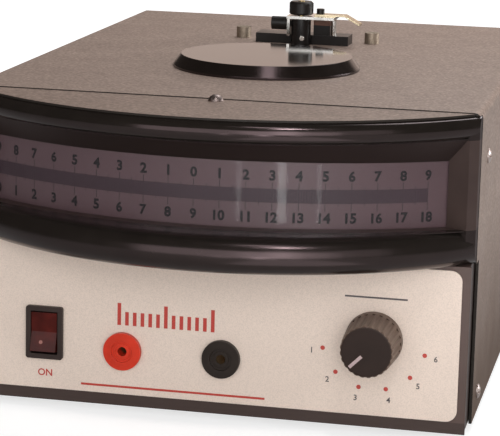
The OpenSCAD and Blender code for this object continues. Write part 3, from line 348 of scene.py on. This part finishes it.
def satin_paint(name, colour, roughness=0.38, return_shade=1.0, foot_shade=1.0):
    """Sprayed paint with a faint orange peel, darkened as painted shade on its right-hand returns and its
    front's foot.
    """
    surface = Surface(name, Specular_IOR_Level=0.3)
    peel = surface.noise(900, 2)
    clouds = surface.noise(45, 3)
    tinted = surface.mix(surface.ramp(clouds, (0.35, 0.0), (0.7, 0.5)), colour, shade(colour, 1.3))
    worn = surface.mix(surface.worn_edges(SATIN_EDGE_R), tinted, shade(colour, 1.5))
    # Painted shade: a darker band along the front's foot
    foot = surface.band(surface.height(), 0, PANEL_FOOT_Z)
    footed = surface.mix(foot, worn, shade(colour, foot_shade))
    fronted = surface.mix(surface.facing((0, -1, 0), 0.5, 0.8), worn, footed)
    # Painted shade: faces that look right are darkened
    returned = surface.mix(surface.facing((1, 0, 0), 0.5, 0.8), fronted, shade(colour, return_shade))
    surface.feed("Base Color", returned)
    surface.feed("Roughness", surface.ramp(clouds, (0.3, roughness - 0.06), (0.7, roughness + 0.08)))
    surface.bump(peel, 0.03 * MM, 0.3, SATIN_EDGE_R)
    return surface.material


def moulding_textures(surface):
    """Smears of handling, flow of the melt and fine grain."""
    return surface.noise(30, 4), surface.noise(120, 3), surface.noise(700, 2)


def gloss_moulding(name, colour, roughness=0.16, level=0.5):
    """Polished moulding: smears in the gloss, faint flow in the colour, soft edges."""
    surface = Surface(name, Specular_IOR_Level=level)
    smears, flow, grain = moulding_textures(surface)
    tinted = surface.streaked(flow, colour, 1.5)
    surface.feed("Base Color", surface.mix(surface.worn_edges(MOULDED_EDGE_R), tinted, shade(colour, 2.2)))
    surface.feed("Roughness", surface.ramp(smears, (0.3, roughness * 0.75), (0.7, roughness * 1.4)))
    surface.bump(grain, 0.02 * MM, 0.25, MOULDED_EDGE_R)
    return surface.material


def polished_lid(name, colour):
    """Black lid, mirror-smooth on its top and duller on its rim."""
    surface = Surface(name, Specular_IOR_Level=0.5, Specular_Tint=(*GLOSS_WARM, 1))
    smears, flow, grain = moulding_textures(surface)
    tinted = surface.streaked(flow, colour, 1.5)
    surface.feed("Base Color", surface.mix(surface.worn_edges(MOULDED_EDGE_R), tinted, shade(colour, 2.2)))
    rim = surface.ramp(smears, (0.3, 0.13), (0.7, 0.24))
    top = surface.ramp(smears, (0.3, 0.06), (0.7, 0.11))
    surface.feed("Roughness", surface.mix(surface.facing((0, 0, 1), 0.85, 0.97), rim, top))
    surface.bump(grain, 0.02 * MM, 0.15, MOULDED_EDGE_R)
    return surface.material


def hood_moulding(name, colour, recess_colour):
    """Black rims, the upper one polished by hands, and a duller, dustier recess between two heights, with
    painted shade on the recess's faces that look down.
    """
    surface = Surface(name, Specular_IOR_Level=0.48, Specular_Tint=(*GLOSS_WARM, 1))
    smears, flow, grain = moulding_textures(surface)
    inside = surface.band(surface.height(), *HOOD_RECESS)
    tinted = surface.streaked(flow, colour, 1.4)
    dusty = surface.streaked(flow, recess_colour, 1.4)
    # Painted shade: faces of the recess that look down are darker
    shaded = surface.mix(surface.facing((0, 0, -1), 0.2, 0.6), dusty, shade(recess_colour, 0.45))
    surface.feed("Base Color", surface.mix(inside, tinted, shaded))
    satin = surface.ramp(smears, (0.3, 0.18), (0.7, 0.25))
    polish = surface.ramp(smears, (0.3, 0.12), (0.7, 0.17))
    gloss = surface.mix(surface.band(surface.height(), HOOD_RECESS[1], 1.0), satin, polish)
    dull = surface.mix(inside, gloss, grey(0.4))
    surface.feed("Roughness", surface.mix(surface.facing((1, 0, 0), 0.7, 0.9), dull, grey(0.85)))
    surface.bump(grain, 0.02 * MM, 0.25)
    return surface.material


def turned_knob(name, side_colour, face_colour):
    """Worn black-brown knob, paler on its fluted side than on its face."""
    surface = Surface(name, Specular_IOR_Level=0.12)
    smears = surface.noise(60, 4)
    flow = surface.noise(160, 3)
    grain = surface.noise(900, 2)
    side = surface.streaked(flow, side_colour, 1.3)
    face = surface.streaked(flow, face_colour, 1.3)
    body = surface.mix(surface.facing((0, -1, 0), 0.6, 0.95), side, face)
    worn = surface.mix(surface.worn_edges(MOULDED_EDGE_R), body, shade(side_colour, 1.6))
    surface.feed("Base Color", worn)
    surface.feed("Roughness", surface.ramp(smears, (0.3, 0.34), (0.7, 0.52)))
    surface.bump(grain, 0.02 * MM, 0.25, MOULDED_EDGE_R)
    return surface.material


def matt_moulding(name, colour, roughness=0.5):
    """Dull moulded plastic or nylon with a fine spark-eroded grain."""
    surface = Surface(name, Specular_IOR_Level=0.3)
    grain = surface.noise(1400, 2)
    flow = surface.noise(90, 3)
    tinted = surface.streaked(flow, colour, 1.45)
    surface.feed("Base Color", surface.mix(surface.worn_edges(SATIN_EDGE_R), tinted, shade(colour, 1.9)))
    surface.feed("Roughness", surface.ramp(grain, (0.3, roughness - 0.07), (0.7, roughness + 0.1)))
    surface.bump(grain, 0.03 * MM, 0.35, SATIN_EDGE_R)
    return surface.material


def printed_plate(name, colour):
    """Cream printed aluminium plate with a fine screen grain and light soiling."""
    surface = Surface(name, Specular_IOR_Level=0.35)
    grain = surface.noise(2200, 1)
    soil = surface.noise(26, 4)
    dark, light = shade(colour, 0.90), shade(colour, 1.06)
    grained = surface.ramp(grain, (0.30, dark), (0.52, colour), (0.75, light))
    soiled = surface.mix(surface.ramp(soil, (0.45, 0.0), (0.75, 0.22)), grained, shade(colour, 0.84))
    surface.feed("Base Color", soiled)
    surface.feed("Roughness", surface.ramp(soil, (0.3, 0.36), (0.7, 0.48)))
    surface.bump(grain, 0.01 * MM, 0.2, METAL_EDGE_R)
    return surface.material


def scale_plastic(name, colour):
    """Grey-violet translucent strip with a soft cloudiness."""
    surface = Surface(name, roughness=0.35)
    clouds = surface.noise(24, 3)
    grain = surface.noise(1600, 1)
    grained = surface.ramp(grain, (0.3, shade(colour, 0.92)), (0.7, shade(colour, 1.08)))
    cloudiness = surface.ramp(clouds, (0.35, 0.0), (0.7, 0.3))
    surface.feed("Base Color", surface.mix(cloudiness, grained, shade(colour, 0.8)))
    surface.bump(grain, 0.01 * MM, 0.15)
    return surface.material


def clear_sheet(name, tint, alpha):
    """Thin clear acrylic: mostly open, with a polished face and a few smears."""
    surface = Surface(name, Alpha=alpha, Specular_IOR_Level=0.6)
    smears = surface.noise(22, 4)
    surface.feed("Base Color", surface.ramp(smears, (0.4, tint), (0.75, shade(tint, 1.3))))
    surface.feed("Roughness", surface.ramp(smears, (0.35, 0.06), (0.75, 0.075)))
    return surface.material


def clear_glass(name, tint):
    """Solid clear glass of a bulb or a lens."""
    surface = Surface(name, Transmission_Weight=1.0, IOR=1.5)
    streaks = surface.noise(60, 2)
    surface.feed("Base Color", surface.ramp(streaks, (0.3, tint), (0.8, shade(tint, 0.92))))
    surface.feed("Roughness", surface.ramp(streaks, (0.3, 0.01), (0.8, 0.04)))
    return surface.material


def red_lens(name, colour):
    """Dark red moulded lens of an illuminated rocker, its red deeper and paler in patches."""
    surface = Surface(name, Specular_IOR_Level=0.17)
    depth = surface.noise(140, 3)
    surface.feed("Base Color", surface.ramp(depth, (0.3, shade(colour, 0.5)), (0.7, shade(colour, 1.3))))
    surface.feed("Roughness", surface.ramp(depth, (0.3, 0.16), (0.7, 0.26)))
    surface.bump(depth, 0.03 * MM, 0.2, SATIN_EDGE_R)
    return surface.material


def plain_metal(name, colour, roughness=0.3, grain_axes=(1, 1, 1)):
    """Bare or plated metal with drawn-out tool marks and a little tarnish."""
    surface = Surface(name, metallic=1.0)
    marks = surface.noise(900, 3, surface.stretched(*grain_axes))
    tarnish = surface.noise(160, 4)
    dulled = surface.ramp(tarnish, (0.35, shade(colour, 0.72)), (0.65, colour))
    surface.feed("Base Color", surface.mix(surface.worn_edges(METAL_EDGE_R), dulled, shade(colour, 1.15)))
    surface.feed("Roughness", surface.ramp(marks, (0.3, roughness * 0.7), (0.7, roughness * 1.4)))
    surface.bump(marks, 0.015 * MM, 0.3, METAL_EDGE_R)
    return surface.material


def cast_metal(name, colour):
    """Rough cast or varnished iron."""
    surface = Surface(name, roughness=0.55, metallic=0.6)
    grain = surface.noise(500, 4)
    surface.feed("Base Color", surface.ramp(grain, (0.3, shade(colour, 0.7)), (0.7, shade(colour, 1.2))))
    surface.bump(grain, 0.08 * MM, 0.5, SATIN_EDGE_R)
    return surface.material


def layered(name, colour, layers_per_metre, axis, metallic=0.0):
    """Stacked laminations or wound turns, seen as fine lines across one axis."""
    surface = Surface(name, roughness=0.45, metallic=metallic)
    lines = surface.rings(layers_per_metre, axis)
    tint = surface.noise(200, 3)
    shaded = surface.ramp(lines, (0.1, shade(colour, 0.55)), (0.6, colour))
    ageing = surface.ramp(tint, (0.3, 0.0), (0.8, 0.4))
    surface.feed("Base Color", surface.mix(ageing, shaded, shade(colour, 0.7)))
    surface.bump(lines, 0.1 * MM, 0.5)
    return surface.material


def laminate(name, colour):
    """Brown paper laminate with a fibrous grain."""
    surface = Surface(name, roughness=0.45)
    fibres = surface.noise(420, 4, surface.stretched(1, 6, 6))
    surface.feed("Base Color", surface.ramp(fibres, (0.3, shade(colour, 0.65)), (0.7, shade(colour, 1.25))))
    surface.bump(fibres, 0.03 * MM, 0.3, METAL_EDGE_R)
    return surface.material


def silvered(name, colour):
    """Silvered mirror glass with a trace of haze."""
    surface = Surface(name, metallic=1.0)
    haze = surface.noise(300, 3)
    surface.feed("Base Color", surface.ramp(haze, (0.3, shade(colour, 0.96)), (0.8, colour)))
    surface.feed("Roughness", surface.ramp(haze, (0.4, 0.01), (0.8, 0.05)))
    return surface.material


def ink(name, colour):
    """Screen printed ink, a little broken by the grain under it; it also paints the highlight on the
    rocker.
    """
    surface = Surface(name, roughness=0.5)
    grain = surface.noise(2600, 2)
    surface.feed("Base Color", surface.ramp(grain, (0.25, shade(colour, 0.8)), (0.75, shade(colour, 1.25))))
    return surface.material


def slot_materials():
    """One material for each finish in the record."""
    return {
        "case_paint": hammered_paint("case_paint_hammered", (0.325, 0.240, 0.200)),
        "panel_paint": satin_paint("panel_paint_satin", (0.088, 0.057, 0.049), 0.38, 0.55, 0.62),
        "screw_steel": plain_metal("screw_steel_plated", (0.56, 0.47, 0.44), 0.32),
        "foot_rubber": matt_moulding("foot_rubber_black", (0.022, 0.021, 0.021), 0.72),
        "hood_black": hood_moulding("hood_black_gloss", (0.0110, 0.0090, 0.0075), (0.038, 0.026, 0.022)),
        "scale_print": scale_plastic("scale_print_violet", (0.155, 0.092, 0.102)),
        "clear_window": clear_sheet("clear_window_acrylic", (0.03, 0.024, 0.027), 0.13),
        "spring_steel": plain_metal("spring_steel_bright", (0.58, 0.57, 0.56), 0.25),
        "label_cream": printed_plate("label_cream_print", (0.74, 0.61, 0.525)),
        "switch_black": matt_moulding("switch_black_grained", (0.028, 0.017, 0.014), 0.42),
        "rocker_red": red_lens("rocker_red_lens", (0.072, 0.0085, 0.0058)),
        "socket_red": gloss_moulding("socket_red_gloss", (0.52, 0.034, 0.015), 0.34, 0.2),
        "socket_black": gloss_moulding("socket_black_gloss", (0.017, 0.0105, 0.0075), 0.32, 0.24),
        "contact_brass": plain_metal("contact_brass_plated", (0.62, 0.46, 0.28), 0.5),
        "plated_steel": plain_metal("plated_steel_zinc", (0.56, 0.55, 0.53), 0.32),
        "knob_black": turned_knob("knob_black_brown", (0.165, 0.112, 0.085), (0.023, 0.0138, 0.0110)),
        "pointer_white": matt_moulding("pointer_white_fill", (0.36, 0.27, 0.27), 0.5),
        "phenolic": laminate("phenolic_brown", (0.13, 0.045, 0.022)),
        "resistor_body": matt_moulding("resistor_body_tan", (0.40, 0.26, 0.16), 0.55),
        "lid_black": polished_lid("lid_black_polished", (0.008, 0.0062, 0.0052)),
        "tube_black": satin_paint("tube_black_matt", (0.018, 0.017, 0.017), 0.6),
        "holder_grey": matt_moulding("holder_grey_grained", (0.20, 0.20, 0.20)),
        "bulb_glass": clear_glass("bulb_glass_clear", (0.97, 0.95, 0.90)),
        "lens_glass": clear_glass("lens_glass_clear", (0.95, 0.97, 0.97)),
        "head_black": gloss_moulding("head_black_enamel", (0.008, 0.0065, 0.006), 0.25, 0.3),
        "head_plastic": gloss_moulding("head_plastic_black", (0.009, 0.007, 0.006), 0.30, 0.3),
        "bright_plate": plain_metal("bright_plate_nickel", (0.82, 0.80, 0.76), 0.18),
        "spring_brass": plain_metal("spring_brass_pale", (0.80, 0.68, 0.47), 0.26, (1, 8, 1)),
        "brass": plain_metal("brass_turned", (0.72, 0.54, 0.27), 0.28),
        "plate_aluminium": plain_metal("plate_aluminium_sheet", (0.70, 0.70, 0.70), 0.36, (1, 10, 1)),
        "magnet_alloy": cast_metal("magnet_alloy_cast", (0.20, 0.20, 0.21)),
        "soft_iron": cast_metal("soft_iron_machined", (0.34, 0.34, 0.35)),
        "coil_copper": layered("coil_copper_wound", (0.58, 0.25, 0.11), 900, "Z", 0.7),
        "mirror_glass": silvered("mirror_glass_silvered", (0.92, 0.92, 0.92)),
        "lamination": layered("lamination_stack", (0.24, 0.24, 0.25), 320, "Y", 0.5),
        "winding_tape": layered("winding_tape_turns", (0.55, 0.40, 0.13), 140, "Z"),
        "fuse_black": gloss_moulding("fuse_black_gloss", (0.018, 0.017, 0.016), 0.28),
        "gland_black": matt_moulding("gland_black_nylon", (0.024, 0.023, 0.023), 0.45),
    }


def node_materials():
    """Nodes that show their finish worn or toned in their own way; the visor's paint is the case's, made
    darker as painted shade.
    """
    return {
        # Painted shade: the case's hammered paint, made darker for the visor
        "visor_plate": hammered_paint("visor_paint_painted_shade", (0.285, 0.207, 0.170)),
        "visor_screw": plain_metal("visor_screw_dulled", (0.36, 0.29, 0.27), 0.42),
        "pillar_screws": plain_metal("pillar_screws_tarnished", (0.40, 0.33, 0.26), 0.55),
    }


def dress_nodes(materials, own_materials):
    """Gives every node of the model the material of its finish, or its own."""
    for name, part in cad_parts.items():
        for holder in part.material_slots:
            holder.material = own_materials.get(name) or materials[holder.material.name]


def new_piece(name, shape, body, material):
    """Turns a finished shape into a piece that rides on a body."""
    bmesh.ops.recalc_face_normals(shape, faces=shape.faces)
    mesh = bpy.data.meshes.new(name)
    shape.to_mesh(mesh)
    shape.free()
    piece = bpy.data.objects.new(name, mesh)
    bpy.context.scene.collection.objects.link(piece)
    mesh.materials.append(material)
    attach(piece, body)


def add_box(shape, x, z, depth, place):
    """A thin box over the ranges x and z; place maps across, up and out to the frame."""
    outline = ((x[0], z[0]), (x[1], z[0]), (x[1], z[1]), (x[0], z[1]))
    back, front = [[shape.verts.new(place(across, up, out)) for across, up in outline] for out in depth]
    shape.faces.new(back)
    shape.faces.new(reversed(front))
    for i in range(4):
        j = (i + 1) % 4
        shape.faces.new((back[i], front[i], front[j], back[j]))


def add_rim(shape, x, z, radius, out, place, sides):
    """A round row of vertices."""
    turns = [2 * math.pi * i / sides for i in range(sides)]
    return [shape.verts.new(place(x + radius * math.cos(t), z + radius * math.sin(t), out)) for t in turns]


def add_disc(shape, x, z, radius, depth, place, sides=28):
    """A thin round dot."""
    rims = [add_rim(shape, x, z, radius, out, place, sides) for out in depth]
    shape.faces.new(rims[0])
    shape.faces.new(reversed(rims[1]))
    for i in range(sides):
        j = (i + 1) % sides
        shape.faces.new((rims[0][j], rims[0][i], rims[1][i], rims[1][j]))


def add_ring(shape, x, z, radii, depth, place, sides=40):
    """A thin flat ring."""
    inner, outer = radii
    back, front = depth
    section = ((inner, back), (outer, back), (outer, front), (inner, front))
    rims = [add_rim(shape, x, z, radius, out, place, sides) for radius, out in section]
    for near, far in zip(rims, rims[1:] + rims[:1]):
        for i in range(sides):
            j = (i + 1) % sides
            shape.faces.new((near[i], near[j], far[j], far[i]))


def add_text(shape, words, x, z, height, depth, place, weight):
    """Letters or figures of the given height, centred at x and z."""
    curve = bpy.data.curves.new("lettering", "FONT")
    curve.body = words
    curve.align_x = "CENTER"
    curve.align_y = "CENTER"
    curve.resolution_u = 3
    curve.offset = weight
    curve.extrude = 0.5
    holder = bpy.data.objects.new("lettering", curve)
    bpy.context.scene.collection.objects.link(holder)
    bpy.context.view_layer.update()
    evaluated = holder.evaluated_get(bpy.context.evaluated_depsgraph_get())
    mesh = bpy.data.meshes.new_from_object(evaluated)
    flat = bmesh.new()
    flat.from_mesh(mesh)
    bmesh.ops.remove_doubles(flat, verts=flat.verts, dist=1e-5)
    across = [vertex.co.x for vertex in flat.verts]
    up = [vertex.co.y for vertex in flat.verts]
    size = height / (max(up) - min(up))
    middle_x = (max(across) + min(across)) / 2
    middle_z = (max(up) + min(up)) / 2
    for vertex in flat.verts:
        out = depth[0] + (depth[1] - depth[0]) * (vertex.co.z + 0.5)
        vertex.co = place(x + (vertex.co.x - middle_x) * size, z + (vertex.co.y - middle_z) * size, out)
    flat.to_mesh(mesh)
    flat.free()
    shape.from_mesh(mesh)
    bpy.data.objects.remove(holder)
    bpy.data.curves.remove(curve)
    bpy.data.meshes.remove(mesh)


def on_scale(along, up, out):
    """Point on the scale's curved face, along the arc from its zero."""
    angle = SCALE_ZERO_ANGLE + along / SCALE_R
    radius = SCALE_R + out
    return Vector((radius * math.sin(angle), scale_axis_y - radius * math.cos(angle), up))


def print_scale(dark, violet, band_tint):
    """Figures, centimetre lines and the tinted band with its millimetre lines."""
    depth = (PRINT_T, 2 * PRINT_T)
    figures = bmesh.new()
    for n in range(-SCALE_HALF_COUNT, SCALE_HALF_COUNT + 1):
        for figure, z in ((abs(n), TOP_FIGURES_Z), (n + SCALE_HALF_COUNT, LOW_FIGURES_Z)):
            add_text(figures, str(figure), n * SCALE_STEP, z, FIGURE_H, depth, on_scale, FIGURE_WEIGHT)
    new_piece("scale_figures", figures, "case", dark)

    band = bmesh.new()
    for i in range(-SCALE_HALF_COUNT * 2, SCALE_HALF_COUNT * 2):
        ends = (i * SCALE_STEP / 2, (i + 1) * SCALE_STEP / 2)
        add_box(band, ends, (BAND_LOW_Z, BAND_HIGH_Z), (0.0, PRINT_T), on_scale)
    new_piece("scale_band", band, "case", band_tint)

    lines = bmesh.new()
    last = LINES_PER_STEP * SCALE_HALF_COUNT
    for i in range(-last, last + 1):
        if i % LINES_PER_STEP == 0:
            width, low, high = LONG_LINE_W, LOW_FIGURES_Z + FIGURE_ROOM, TOP_FIGURES_Z - FIGURE_ROOM
        elif i % (LINES_PER_STEP // 2) == 0:
            width, low, high = HALF_LINE_W, BAND_LOW_Z - HALF_LINE_REACH, BAND_HIGH_Z + HALF_LINE_REACH
        else:
            width, low, high = FINE_LINE_W, BAND_LOW_Z, BAND_HIGH_Z
        x = i * SCALE_STEP / LINES_PER_STEP
        add_box(lines, (x - width / 2, x + width / 2), (low, high), depth, on_scale)
    new_piece("scale_lines", lines, "case", violet)


def on_label(across, up, out):
    """Point on the front label's face."""
    return Vector((across, label_face_y - out, up))


def around_dial(number, radius):
    """Place of one of the selector's marks, counted from the left, at a radius round the knob."""
    angle = (number - (DIAL_COUNT + 1) / 2) * DIAL_STEP
    return DIAL_X + radius * math.sin(angle), DIAL_Z - radius * math.cos(angle)


def print_label(red, dark):
    """Generic marks of the front label: dial dots and numbers, switch word, rules and ticks."""
    depth = (0.0, PRINT_T)
    switch_low, switch_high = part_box("switch_body")
    switch_x = (switch_low.x + switch_high.x) / 2

    marks = bmesh.new()
    for number in range(1, DIAL_COUNT + 1):
        add_disc(marks, *around_dial(number, DIAL_DOT_R), DOT_R, depth, on_label)
    add_text(marks, "ON", switch_x, SWITCH_WORD_Z, SWITCH_WORD_H, depth, on_label, LABEL_WEIGHT)
    # Row of ticks with longer ones at its ends and middle, like a small scale
    first, last = TICK_ROW_X
    for i in range(TICK_COUNT):
        x = first + (last - first) * i / (TICK_COUNT - 1)
        reach = TICK_LONG if i in (0, TICK_COUNT // 2, TICK_COUNT - 1) else TICK_SHORT
        upright = (TICK_FOOT_Z, TICK_FOOT_Z + reach)
        add_box(marks, (x - TICK_W / 2, x + TICK_W / 2), upright, depth, on_label)
    add_box(marks, FOOT_RULE_X, FOOT_RULE_Z, depth, on_label)
    new_piece("label_red_marks", marks, "case", red)

    numbers = bmesh.new()
    for number in range(1, DIAL_COUNT + 1):
        x, z = around_dial(number, DIAL_NUMBER_R)
        add_text(numbers, str(number), x, z, DIAL_NUMBER_H, depth, on_label, LABEL_WEIGHT)
    add_box(numbers, DIAL_RULE_X, DIAL_RULE_Z, depth, on_label)
    new_piece("label_dark_marks", numbers, "case", dark)


def collar_sockets(materials):
    """Moulded lips that close each socket round the mouth of its contact sleeve."""
    face_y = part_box("socket_sleeves")[0].y

    def on_mouth(across, up, out):
        return Vector((across, face_y - out, up))

    sockets = (
        ("red_socket", "socket_red", RED_LINING_DEPTH),
        ("black_socket", "socket_black", BLACK_LINING_DEPTH),
    )
    for node, slot, lining_depth in sockets:
        low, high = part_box(node)
        centre = (low + high) / 2
        lip = bmesh.new()
        add_ring(lip, centre.x, centre.z, LIP_R, LIP_REACH, on_mouth)
        add_ring(lip, centre.x, centre.z, LINING_R, (-lining_depth, LINING_REACH), on_mouth)
        new_piece(node + "_lip", lip, "case", materials[slot])


def mark_rocker(pale):
    """Pale dot low on the rocker's lens, a painted highlight where a lamp glints."""
    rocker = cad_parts["switch_rocker"]
    low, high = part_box("switch_rocker")
    x = low.x + ROCKER_GLINT_ACROSS * (high.x - low.x)
    z = low.z + ROCKER_GLINT_UP * (high.z - low.z)
    in_front = low.y - 10 * MM
    _, centre, normal, _ = rocker.ray_cast(Vector((x, in_front, z)), Vector((0, 1, 0)))
    uphill = normal.cross(Vector((-1, 0, 0)))

    def on_rocker(across, up, out):
        return centre + across * Vector((1, 0, 0)) + up * uphill + out * normal

    dot = bmesh.new()
    add_disc(dot, 0, 0, ROCKER_GLINT_R, (-PRINT_T, PRINT_T), on_rocker)
    new_piece("rocker_painted_glint", dot, "rocker", pale)


def look_through_camera():
    """Camera at the viewing angle of the picture, 500 by 436."""
    data = bpy.data.cameras.new("view")
    data.sensor_width = CAMERA_SENSOR
    data.lens = CAMERA_LENS
    data.clip_start = 0.05
    camera = bpy.data.objects.new("view", data)
    camera.location = CAMERA_PLACE
    camera.rotation_euler = Euler([math.radians(turn) for turn in CAMERA_TURN])
    bpy.context.scene.collection.objects.link(camera)
    bpy.context.scene.camera = camera


def flat_lamp(name, place, facing, size, watts):
    """Rectangular lamp at a place, facing along a direction."""
    data = bpy.data.lights.new(name, "AREA")
    data.shape = "RECTANGLE"
    data.size, data.size_y = size
    data.energy = watts
    lamp = bpy.data.objects.new(name, data)
    lamp.location = place
    lamp.rotation_euler = (-Vector(facing)).to_track_quat("Z", "Y").to_euler()
    lamp.visible_camera = False
    bpy.context.scene.collection.objects.link(lamp)
    return lamp


def soft_box(name, azimuth, elevation, distance, size, watts):
    """Rectangular lamp aimed at the middle of the object."""
    turn, rise = math.radians(azimuth), math.radians(elevation)
    aim = (cad_low + cad_high) / 2
    out = Vector((math.sin(turn) * math.cos(rise), -math.cos(turn) * math.cos(rise), math.sin(rise)))
    flat_lamp(name, aim + out * distance, -out, size, watts)


def strip_lamp(name, place, size, watts):
    """Slim upright lamp near the floor that looks back at the object's window."""
    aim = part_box("scale_window")
    inward = (aim[0] + aim[1]) / 2 - Vector(place)
    inward.z = 0
    flat_lamp(name, place, inward, size, watts)


def bounce_card(name, place, azimuth, size, watts):
    """Lit card on the floor in front of the object, turned to the azimuth."""
    card = flat_lamp(name, place, (0, 0, 1), size, watts)
    card.rotation_euler = Euler((math.pi, 0, math.radians(azimuth)))


def light_path(nodes, links, *kinds):
    """1 for rays of any of the given kinds, 0 for the others."""
    path = nodes.new("ShaderNodeLightPath")
    found = path.outputs[kinds[0]]
    for kind in kinds[1:]:
        either = nodes.new("ShaderNodeMath")
        either.operation = "MAXIMUM"
        links.new(found, either.inputs[0])
        links.new(path.outputs[kind], either.inputs[1])
        found = either.outputs[0]
    return found


def mix_values(nodes, links, factor, first, second):
    """The first value, turning into the second as the factor rises."""
    mix = nodes.new("ShaderNodeMix")
    for socket, value in zip((mix.inputs[0], mix.inputs[2], mix.inputs[3]), (factor, first, second)):
        if isinstance(value, (int, float)):
            socket.default_value = value
        else:
            links.new(value, socket)
    return mix.outputs[0]


def ease(nodes, links, value, start, end):
    """0 before start, 1 after end, smooth between them."""
    ramp = nodes.new("ShaderNodeMapRange")
    ramp.interpolation_type = "SMOOTHSTEP"
    ramp.inputs["From Min"].default_value = start
    ramp.inputs["From Max"].default_value = end
    links.new(value, ramp.inputs["Value"])
    return ramp.outputs["Result"]


def plain_floor(glow, gloss_glow):
    """Wide pale floor that takes the object's shadow and is seen a little lighter than it is lit."""
    shape = bmesh.new()
    corners = ((-1, -1), (1, -1), (1, 1), (-1, 1))
    shape.faces.new([shape.verts.new((x * FLOOR_HALF, y * FLOOR_HALF, 0)) for x, y in corners])
    mesh = bpy.data.meshes.new("floor")
    shape.to_mesh(mesh)
    shape.free()
    surface = Surface("floor_pale", roughness=0.9, Specular_IOR_Level=0.1)
    clouds = surface.noise(1.5, 2)
    surface.feed("Base Color", surface.ramp(clouds, (0.3, 0.50), (0.7, 0.53)))
    surface.shader.inputs["Emission Color"].default_value = (1, 1, 1, 1)
    nodes, links = surface.nodes, surface.links
    seen = light_path(nodes, links, "Is Camera Ray", "Is Transmission Ray")
    mirrored = light_path(nodes, links, "Is Glossy Ray")
    lit = mix_values(nodes, links, mirrored, 0.0, gloss_glow)
    away = nodes.new("ShaderNodeVectorMath")
    away.operation = "LENGTH"
    links.new(surface.place, away.inputs[0])
    bright = mix_values(nodes, links, ease(nodes, links, away.outputs["Value"], *SHADOW_FADE), glow, 1.0)
    surface.feed("Emission Strength", mix_values(nodes, links, seen, lit, bright))
    mesh.materials.append(surface.material)
    floor = bpy.data.objects.new("floor", mesh)
    bpy.context.scene.collection.objects.link(floor)


def pale_surround(fill, behind, ahead):
    """White where it is seen and softer where it lights; warm in gloss, pale low behind and dim ahead."""
    world = bpy.data.worlds.new("surround")
    bpy.context.scene.world = world
    world.use_nodes = True
    nodes, links = world.node_tree.nodes, world.node_tree.links
    background = nodes["Background"]
    direction = nodes.new("ShaderNodeSeparateXYZ")
    links.new(nodes.new("ShaderNodeTexCoord").outputs["Generated"], direction.inputs["Vector"])
    back = ease(nodes, links, direction.outputs["Y"], *PALE_BACK)
    low = ease(nodes, links, direction.outputs["Z"], *PALE_LOW)
    pale = nodes.new("ShaderNodeMath")
    pale.operation = "MULTIPLY"
    links.new(back, pale.inputs[0])
    links.new(low, pale.inputs[1])
    mirrored = light_path(nodes, links, "Is Glossy Ray")
    seen = light_path(nodes, links, "Is Camera Ray", "Is Transmission Ray")
    in_gloss = mix_values(nodes, links, pale.outputs[0], ahead, behind)
    unseen = mix_values(nodes, links, mirrored, fill, in_gloss)
    links.new(mix_values(nodes, links, seen, unseen, 1.0), background.inputs["Strength"])
    tint = nodes.new("ShaderNodeMix")
    tint.data_type = "RGBA"
    tint.inputs[6].default_value = (1, 1, 1, 1)
    tint.inputs[7].default_value = (*SURROUND_WARM, 1)
    links.new(mirrored, tint.inputs[0])
    links.new(tint.outputs[2], background.inputs["Color"])


bpy.context.scene.view_settings.view_transform = "Standard"
look_through_camera()
finishes = slot_materials()
dress_nodes(finishes, node_materials())
collar_sockets(finishes)
figure_ink = ink("scale_ink", INK_DARK)
line_ink = ink("scale_line_ink", INK_VIOLET)
band_ink = ink("scale_band_tint", BAND_VIOLET)
print_scale(figure_ink, line_ink, band_ink)
print_label(ink("red_ink", INK_RED), ink("dark_ink", INK_GREY))
# Painted highlight: a pale dot on the rocker
mark_rocker(ink("glint_paint", GLINT_PINK))

# Glow of the floor and the surround, as seen, as light and in gloss
plain_floor(0.70, 0.05)
pale_surround(0.17, 0.81, 0.05)

# Lamps: azimuth from the front, elevation, distance, size, watts
soft_box("key", 21.5, 54, 1.25, (0.11, 0.11), 2.1)
soft_box("high_key", 13, 64, 1.25, (0.22, 0.10), 0.55)
soft_box("tall_light", 18, 20, 1.35, (0.16, 1.0), 1.3)
soft_box("front_fill", 19.5, 12, 1.5, (0.8, 0.8), 3.7)
soft_box("front_wide", -3, 14.5, 1.55, (1.5, 1.0), 8.6)
soft_box("front_right", 38, 19, 1.5, (0.8, 1.0), 1.9)
soft_box("top_back", 160, 57, 0.6, (0.36, 0.36), 1.8)
soft_box("right_fill", 116, 12, 1.2, (0.6, 0.36), 6.7)

# Lit card on the floor and upright strips that the clear cover mirrors: place, turn, size, watts
bounce_card("bounce", (0.105, -0.325, 0.004), 18, (0.12, 0.24), 0.10)
strip_lamp("wide_strip", (0.1025, -0.53, 0.05), (0.020, 0.1), 0.062)
strip_lamp("slim_strip_left", (0.001, -0.54, 0.05), (0.009, 0.1), 0.017)
strip_lamp("slim_strip_right", (0.190, -0.515, 0.05), (0.009, 0.1), 0.015)
